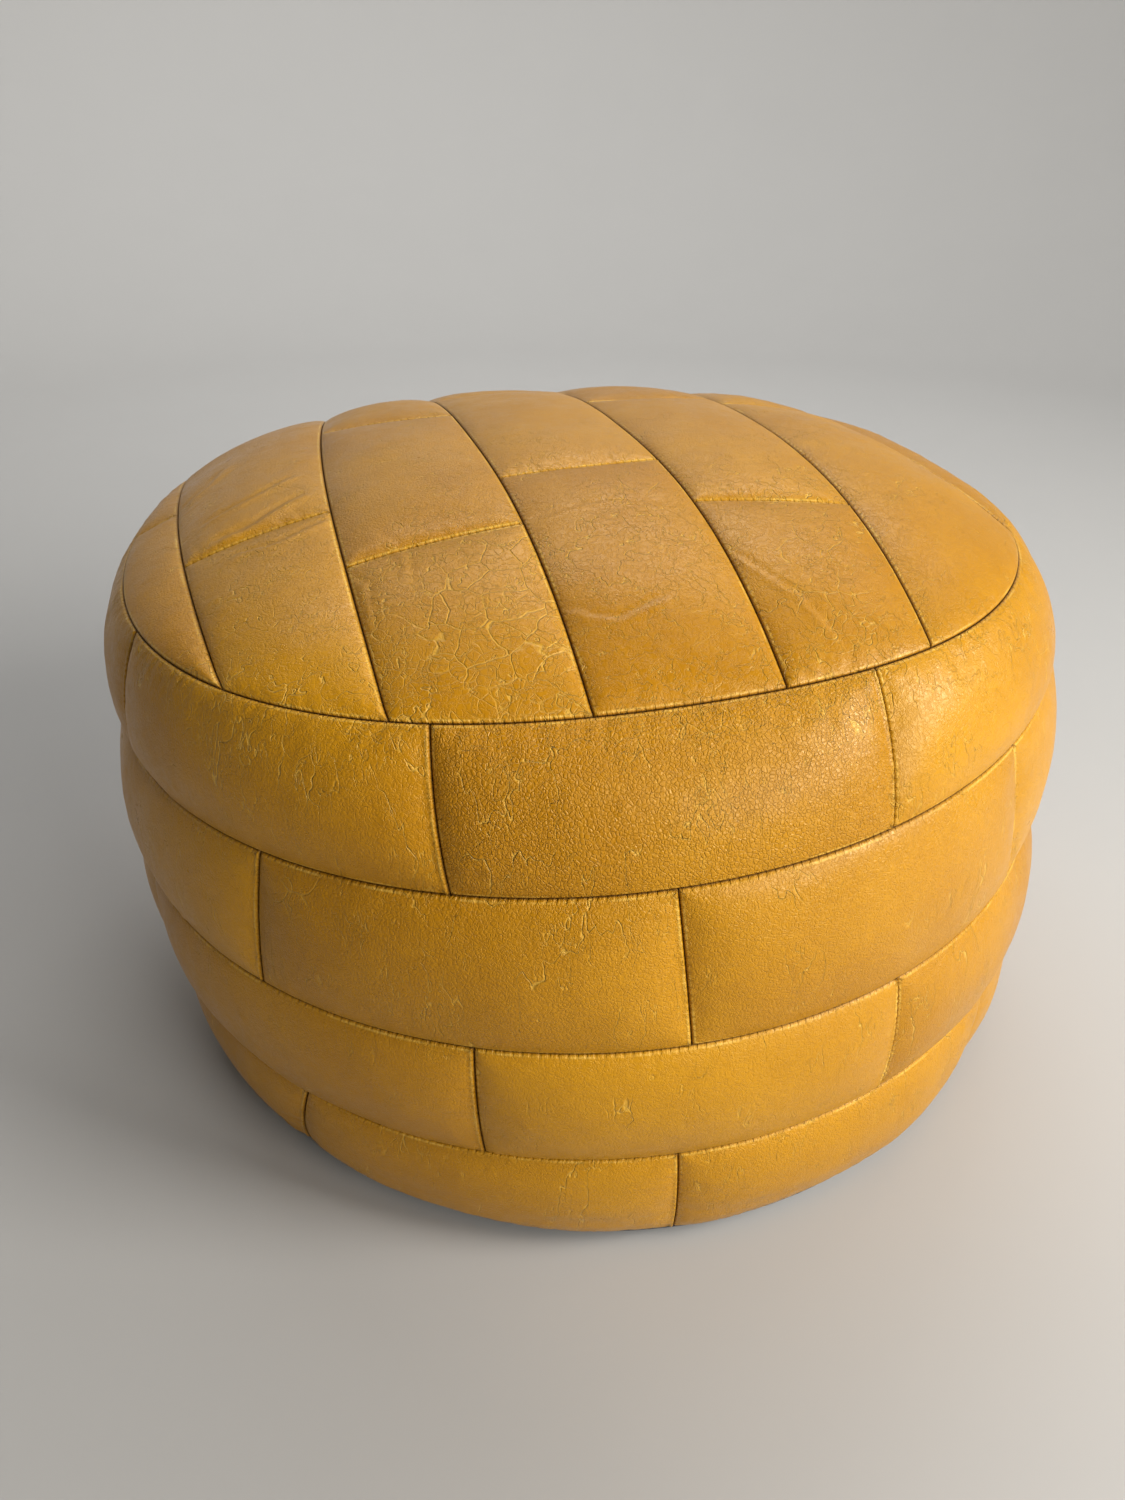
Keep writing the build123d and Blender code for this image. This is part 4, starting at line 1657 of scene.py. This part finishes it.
@dataclass(frozen=True)
class Base:
    """The canvas base, in two halves on either side of the zip.

    Attributes:
        thickness: The folded canvas's thickness, in metres.
        hem: Width of the hem beside the zip.
        hem_step: How far the hem stands out.
    """

    thickness: float = 3.2 * MM
    hem: float = 13.0 * MM
    hem_step: float = 0.7 * MM

    def build(self, form: Form, thread: bpy.types.Material) -> list[bpy.types.Object]:
        """Make both halves and the hems' stitches.

        Args:
            form: The pouf's settled form.
            thread: The thread's material.

        Returns:
            The finished pieces.
        """
        canvas = WovenFinish("base_cloth", (0.020, 0.024, 0.040, 1.0), 1.1 * MM, 0.16 * MM).build()
        pieces = []
        for side, node in ((1, "base_cloth_rear"), (-1, "base_cloth_front")):
            grid = self.half(form, side)
            lift = np.array([0.0, 0.0, self.thickness])
            upper = grid + lift
            reach = np.hypot(grid[..., 0], grid[..., 1])
            rim = smooth((reach / reach[:, -1:] - 0.93) / 0.07)[..., None]
            upper = upper - lift * 0.75 * rim
            piece = closed_sheet(node.replace("cloth", "canvas"), grid, upper, canvas)
            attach(piece, POUF_BODY)
            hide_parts(node)
            pieces.append(piece)
        pieces.append(self.hem_stitches(form, thread))
        return pieces

    def slot_corner(self, form: Form) -> tuple[float, float]:
        """Half the length and half the width of the zip's opening."""
        half = np.abs(node_points("base_cloth_rear"))
        near = half[(half[:, 1] > 2 * MM) & (half[:, 0] < form.rings[0].radius * 0.93)]
        wide = float(near[:, 1].min())
        return float(near[near[:, 1] < wide + 0.1 * MM][:, 0].max()), wide

    def half(self, form: Form, side: int) -> np.ndarray:
        """Grid of one half's underside.

        Args:
            form: The pouf's settled form.
            side: 1 for the rear half, -1 for the front one.

        Returns:
            The grid, with its first axis along the zip and its second out to the base seam.
        """
        long, wide = self.slot_corner(form)
        count = 300
        turn = np.linspace(0, math.pi, count)
        path = np.array([(long, 0), (long, wide), (-long, wide), (-long, 0)])
        lengths = np.concatenate([[0], np.cumsum(np.linalg.norm(np.diff(path, axis=0), axis=1))])
        at = np.sort(np.append(np.linspace(0, lengths[-1], count - 2), lengths[1:3]))
        inner = np.stack([np.interp(at, lengths, path[:, k]) for k in (0, 1)], -1)
        inner[:, 1] *= side
        rim = form.rings[0].points(turn * side)
        rim[:, :2] *= 1.0 - 0.9 * MM / form.rings[0].radius
        part = np.concatenate([np.linspace(0, 0.88, 40), np.linspace(0.885, 1, 24)])[None, :, None]
        flat = inner[:, None, :] + (rim[:, None, :2] - inner[:, None, :]) * part
        reach = np.hypot(flat[..., 0], flat[..., 1]) / np.hypot(rim[:, 0], rim[:, 1])[:, None]
        turned_up = smooth((reach - 0.955) / 0.045) ** 0.8
        from_slot = np.hypot(np.maximum(np.abs(flat[..., 0]) - long, 0.0),
                             np.maximum(np.abs(flat[..., 1]) - wide, 0.0))
        step = self.hem_step * smooth((from_slot - self.hem) / (0.8 * MM))
        heading = np.arctan2(flat[..., 1], flat[..., 0])
        noise = ValueNoise(21)
        pleats = noise.at(np.stack([heading * 24, reach * 3, heading * 0], -1))
        pleats = 1.1 * MM * np.abs(pleats) * smooth((reach - 0.82) / 0.12) * (1 - turned_up)
        waves = 0.35 * MM * (noise.at(np.concatenate([flat / (34 * MM), flat[..., :1] * 0], -1)) + 1)
        free = smooth((from_slot - self.hem) / (6 * MM))
        height = 0.25 * MM + step + pleats + waves * free * (1 - turned_up)
        height = height + (rim[:, None, 2] - height) * turned_up
        return np.concatenate([flat, height[..., None]], -1)

    def hem_stitches(self, form: Form, thread: bpy.types.Material) -> bpy.types.Object:
        """Two rows of stitches along each side of the zip."""
        long, wide = self.slot_corner(form)
        rows = []
        for side in (-1, 1):
            for gap in (3.0 * MM, self.hem - 2.5 * MM):
                y = side * (wide + gap)
                line = np.array([(-long, y, 0.0), (long, y, 0.0)])
                rows.append(Places.along(line, np.array([(0.0, 0.0, -1.0)] * 2), 4.0 * MM, 0.45 * MM))
        places = Places.together(rows)
        places.run = np.stack([places.run[:, 1], places.run[:, 0], places.run[:, 2]], -1)
        stitch = Thread(3.0 * MM, 0.6 * MM).build()
        piece = Repeat("hem_stitching", jitter=0.06, seed=5).build("hem_stitches", places, stitch, thread)
        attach(piece, POUF_BODY)
        return piece


@dataclass(frozen=True)
class Zip:
    """The zip in the base: tapes, teeth, stops, slider and pull tab.

    Attributes:
        pitch: Distance between teeth of one row, in metres.
    """

    pitch: float = 2.6 * MM

    def build(self) -> list[bpy.types.Object]:
        """Make the tapes and teeth, and finish the cast parts.

        Returns:
            The finished pieces.
        """
        tape = WovenFinish("zip_tape", (0.016, 0.018, 0.028, 1.0), 0.7 * MM, 0.07 * MM, 0.1).build()
        brass = MetalFinish().build()
        for node in ("zip_stops", "zip_slider", "zip_pull_tab"):
            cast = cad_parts[node]
            cast.data.materials.clear()
            cast.data.materials.append(brass)
        pieces = []
        for number, side in enumerate(("rear", "front")):
            pieces.append(self.tape(f"zip_tape_{side}", tape))
            pieces.append(self.teeth(f"zip_teeth_{side}", 1 - 2 * number, brass))
        return pieces

    def tape(self, node: str, finish: bpy.types.Material) -> bpy.types.Object:
        """Make one tape, with a corded edge beside the teeth."""
        low, high = (np.array(corner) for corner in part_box(node))
        x = np.linspace(low[0], high[0], 260)[:, None]
        y = np.linspace(low[1], high[1], 14)[None, :]
        x, y = np.broadcast_arrays(x, y)
        near = np.minimum(np.abs(y), 20 * MM)
        cord = 0.14 * MM * np.exp(-(((near - near.min() - 0.9 * MM) / (0.6 * MM)) ** 2))
        ripple = 0.04 * MM * ValueNoise(31).at(np.stack([x / (17 * MM), y / (9 * MM), x * 0], -1))
        under = np.stack([x, y, low[2] + ripple - cord], -1)
        over = np.stack([x, y, high[2] + ripple], -1)
        piece = closed_sheet(f"{node}_woven", under, over, finish)
        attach(piece, POUF_BODY)
        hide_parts(node)
        return piece

    def teeth(self, node: str, side: int, finish: bpy.types.Material) -> bpy.types.Object:
        """Make one row of teeth.

        Args:
            node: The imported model's row.
            side: 1 at the rear, -1 at the front.
            finish: The metal.

        Returns:
            The finished row.
        """
        low, high = (np.array(corner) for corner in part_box(node))
        inner, outer = sorted((abs(low[1]), abs(high[1])))
        middle, tall = (low[2] + high[2]) / 2, (high[2] - low[2]) / 2
        wide = 0.42 * self.pitch / 2
        tooth = loft([
            (outer, 0.0, wide * 0.9, tall * 0.72), (outer - 0.25 * MM, 0.0, wide, tall),
            (inner + 1.2 * MM, 0.0, wide, tall), (inner + 0.95 * MM, 0.0, wide * 0.75, tall * 0.85),
            (inner + 0.7 * MM, 0.0, wide * 0.75, tall * 0.8),
            (inner + 0.45 * MM, 0.0, wide * 1.1, tall * 0.85),
            (inner + 0.03 * MM, 0.0, wide * 0.8, tall * 0.6),
        ], sides=8, squareness=1.6)
        shift = self.pitch / 4 * side
        line = np.array([(low[0] + self.pitch / 2 + shift, 0.0, middle),
                         (high[0] - self.pitch / 2 + shift, 0.0, middle)])
        places = Places.along(line, np.array([(0.0, 0.0, 1.0)] * 2), self.pitch)
        places.run = places.run * side
        piece = Repeat(f"{node}_row").build(f"{node}_cast", places, tooth, finish)
        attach(piece, POUF_BODY)
        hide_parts(node)
        return piece


# ---- Studio ------------------------------------------------------------------------------------
@dataclass(frozen=True)
class Camera:
    """The camera's place and aim.

    Attributes:
        distance: In front of the pouf's axis, in metres.
        height: Above the floor, in metres.
        pitch: Degrees below level.
        turn: Degrees to the right of the pouf's axis.
        roll: Degrees that the picture is turned.
        lens: Focal length in millimetres, for a film side of 36 mm.
    """

    distance: float = 0.5686
    height: float = 0.4855
    pitch: float = 31.62
    turn: float = -1.70
    roll: float = 0.37
    lens: float = 26.06

    def build(self) -> bpy.types.Object:
        """Make the scene's camera."""
        data = bpy.data.cameras.new("camera")
        data.lens = self.lens
        data.sensor_width = 36.0
        data.clip_start = 0.01
        camera = bpy.data.objects.new("camera", data)
        camera.location = (0.0, -self.distance, self.height)
        pitch, turn, roll = map(math.radians, (self.pitch, self.turn, self.roll))
        ahead = Vector((math.sin(turn) * math.cos(pitch), math.cos(turn) * math.cos(pitch), -math.sin(pitch)))
        aim = ahead.to_track_quat("-Z", "Y")
        aim.rotate(Quaternion(ahead, -roll))
        camera.rotation_mode = "QUATERNION"
        camera.rotation_quaternion = aim
        bpy.context.scene.collection.objects.link(camera)
        bpy.context.scene.camera = camera
        return camera


@dataclass(frozen=True)
class Lamp:
    """A soft rectangular light.

    Attributes:
        name: What it does.
        place: Where it is, in metres.
        power: In watts.
        size: Its width and height, in metres.
        colour: Its colour.
        aim: The point that it faces.
    """

    name: str
    place: tuple[float, float, float]
    power: float
    size: tuple[float, float]
    colour: tuple[float, float, float] = (1.0, 1.0, 1.0)
    aim: tuple[float, float, float] = (0.0, 0.0, 0.18)

    def build(self) -> None:
        """Make the light, which lights the scene and isn't itself in the picture."""
        data = bpy.data.lights.new(self.name, "AREA")
        data.shape = "RECTANGLE"
        data.size, data.size_y = self.size
        data.energy = self.power
        data.color = self.colour
        lamp = bpy.data.objects.new(self.name, data)
        lamp.location = self.place
        lamp.rotation_euler = (Vector(self.aim) - Vector(self.place)).to_track_quat("-Z", "Y").to_euler()
        lamp.visible_camera = False
        bpy.context.scene.collection.objects.link(lamp)


class Studio:
    """The floor, backdrop, lights and camera."""

    REACH = 2.7
    BEND = 0.9
    RISE = 3.0
    SKY = (0.9, 0.94, 1.0, 1.0)
    SKY_STRENGTH = 0.06
    LAMPS = (
        Lamp("key_window", (1.25, -0.55, 1.0), 26.0, (0.55, 0.75), (1.0, 0.985, 0.96)),
        Lamp("front_fill", (1.35, -1.55, 0.95), 26.0, (0.9, 0.8), (1.0, 0.985, 0.96)),
        Lamp("rear_wash", (0.5, 1.0, 1.7), 8.0, (1.6, 0.7), (0.95, 0.97, 1.0)),
        Lamp("wall_wash", (-0.4, 1.3, 2.6), 50.0, (2.4, 0.6), (0.97, 0.98, 1.0), (-0.4, 2.7, 0.5)),
    )

    def build(self) -> None:
        """Stage the pouf."""
        finish = BackdropFinish().build()
        # A round floor that bends up all round, so that every side has the same backdrop
        flat = self.REACH - self.BEND
        profile = [(0.001, 0.0), (flat, 0.0)]
        profile += [
            (flat + self.BEND * math.sin(a), self.BEND - self.BEND * math.cos(a))
            for a in np.linspace(0, math.pi / 2, 25)[1:]
        ]
        profile.append((self.REACH, self.RISE))
        turns = np.linspace(0, 2 * math.pi, 145)
        points = [(r * math.cos(a), r * math.sin(a), z) for a in turns for r, z in profile]
        faces = grid_faces(len(turns), len(profile), flip=True)
        sweep = make_object("studio_sweep", np.array(points), faces, finish)
        world = bpy.data.worlds.new("studio")
        world.use_nodes = True
        background = world.node_tree.nodes["Background"]
        background.inputs[0].default_value = self.SKY
        background.inputs[1].default_value = self.SKY_STRENGTH
        bpy.context.scene.world = world
        bpy.context.scene.view_settings.view_transform = "Standard"
        for lamp in self.LAMPS:
            lamp.build()
        Camera().build()


def main() -> None:
    """Build the pouf and its studio."""
    logging.basicConfig(level=logging.INFO, format="%(name)s: %(message)s")
    form = Form(Slump())
    thread = ThreadFinish("seam_thread", (0.16, 0.07, 0.02, 1.0)).build()
    cover = LeatherCover(form, CutPlan(), LeatherFinish().build(), thread)
    pieces = cover.build() + Inside().build(form) + Base().build(form, thread) + Zip().build()
    for piece in pieces:
        log.info("%s: %d faces", piece.name, len(piece.data.polygons))
    Studio().build()


if __name__ == "__main__":
    main()
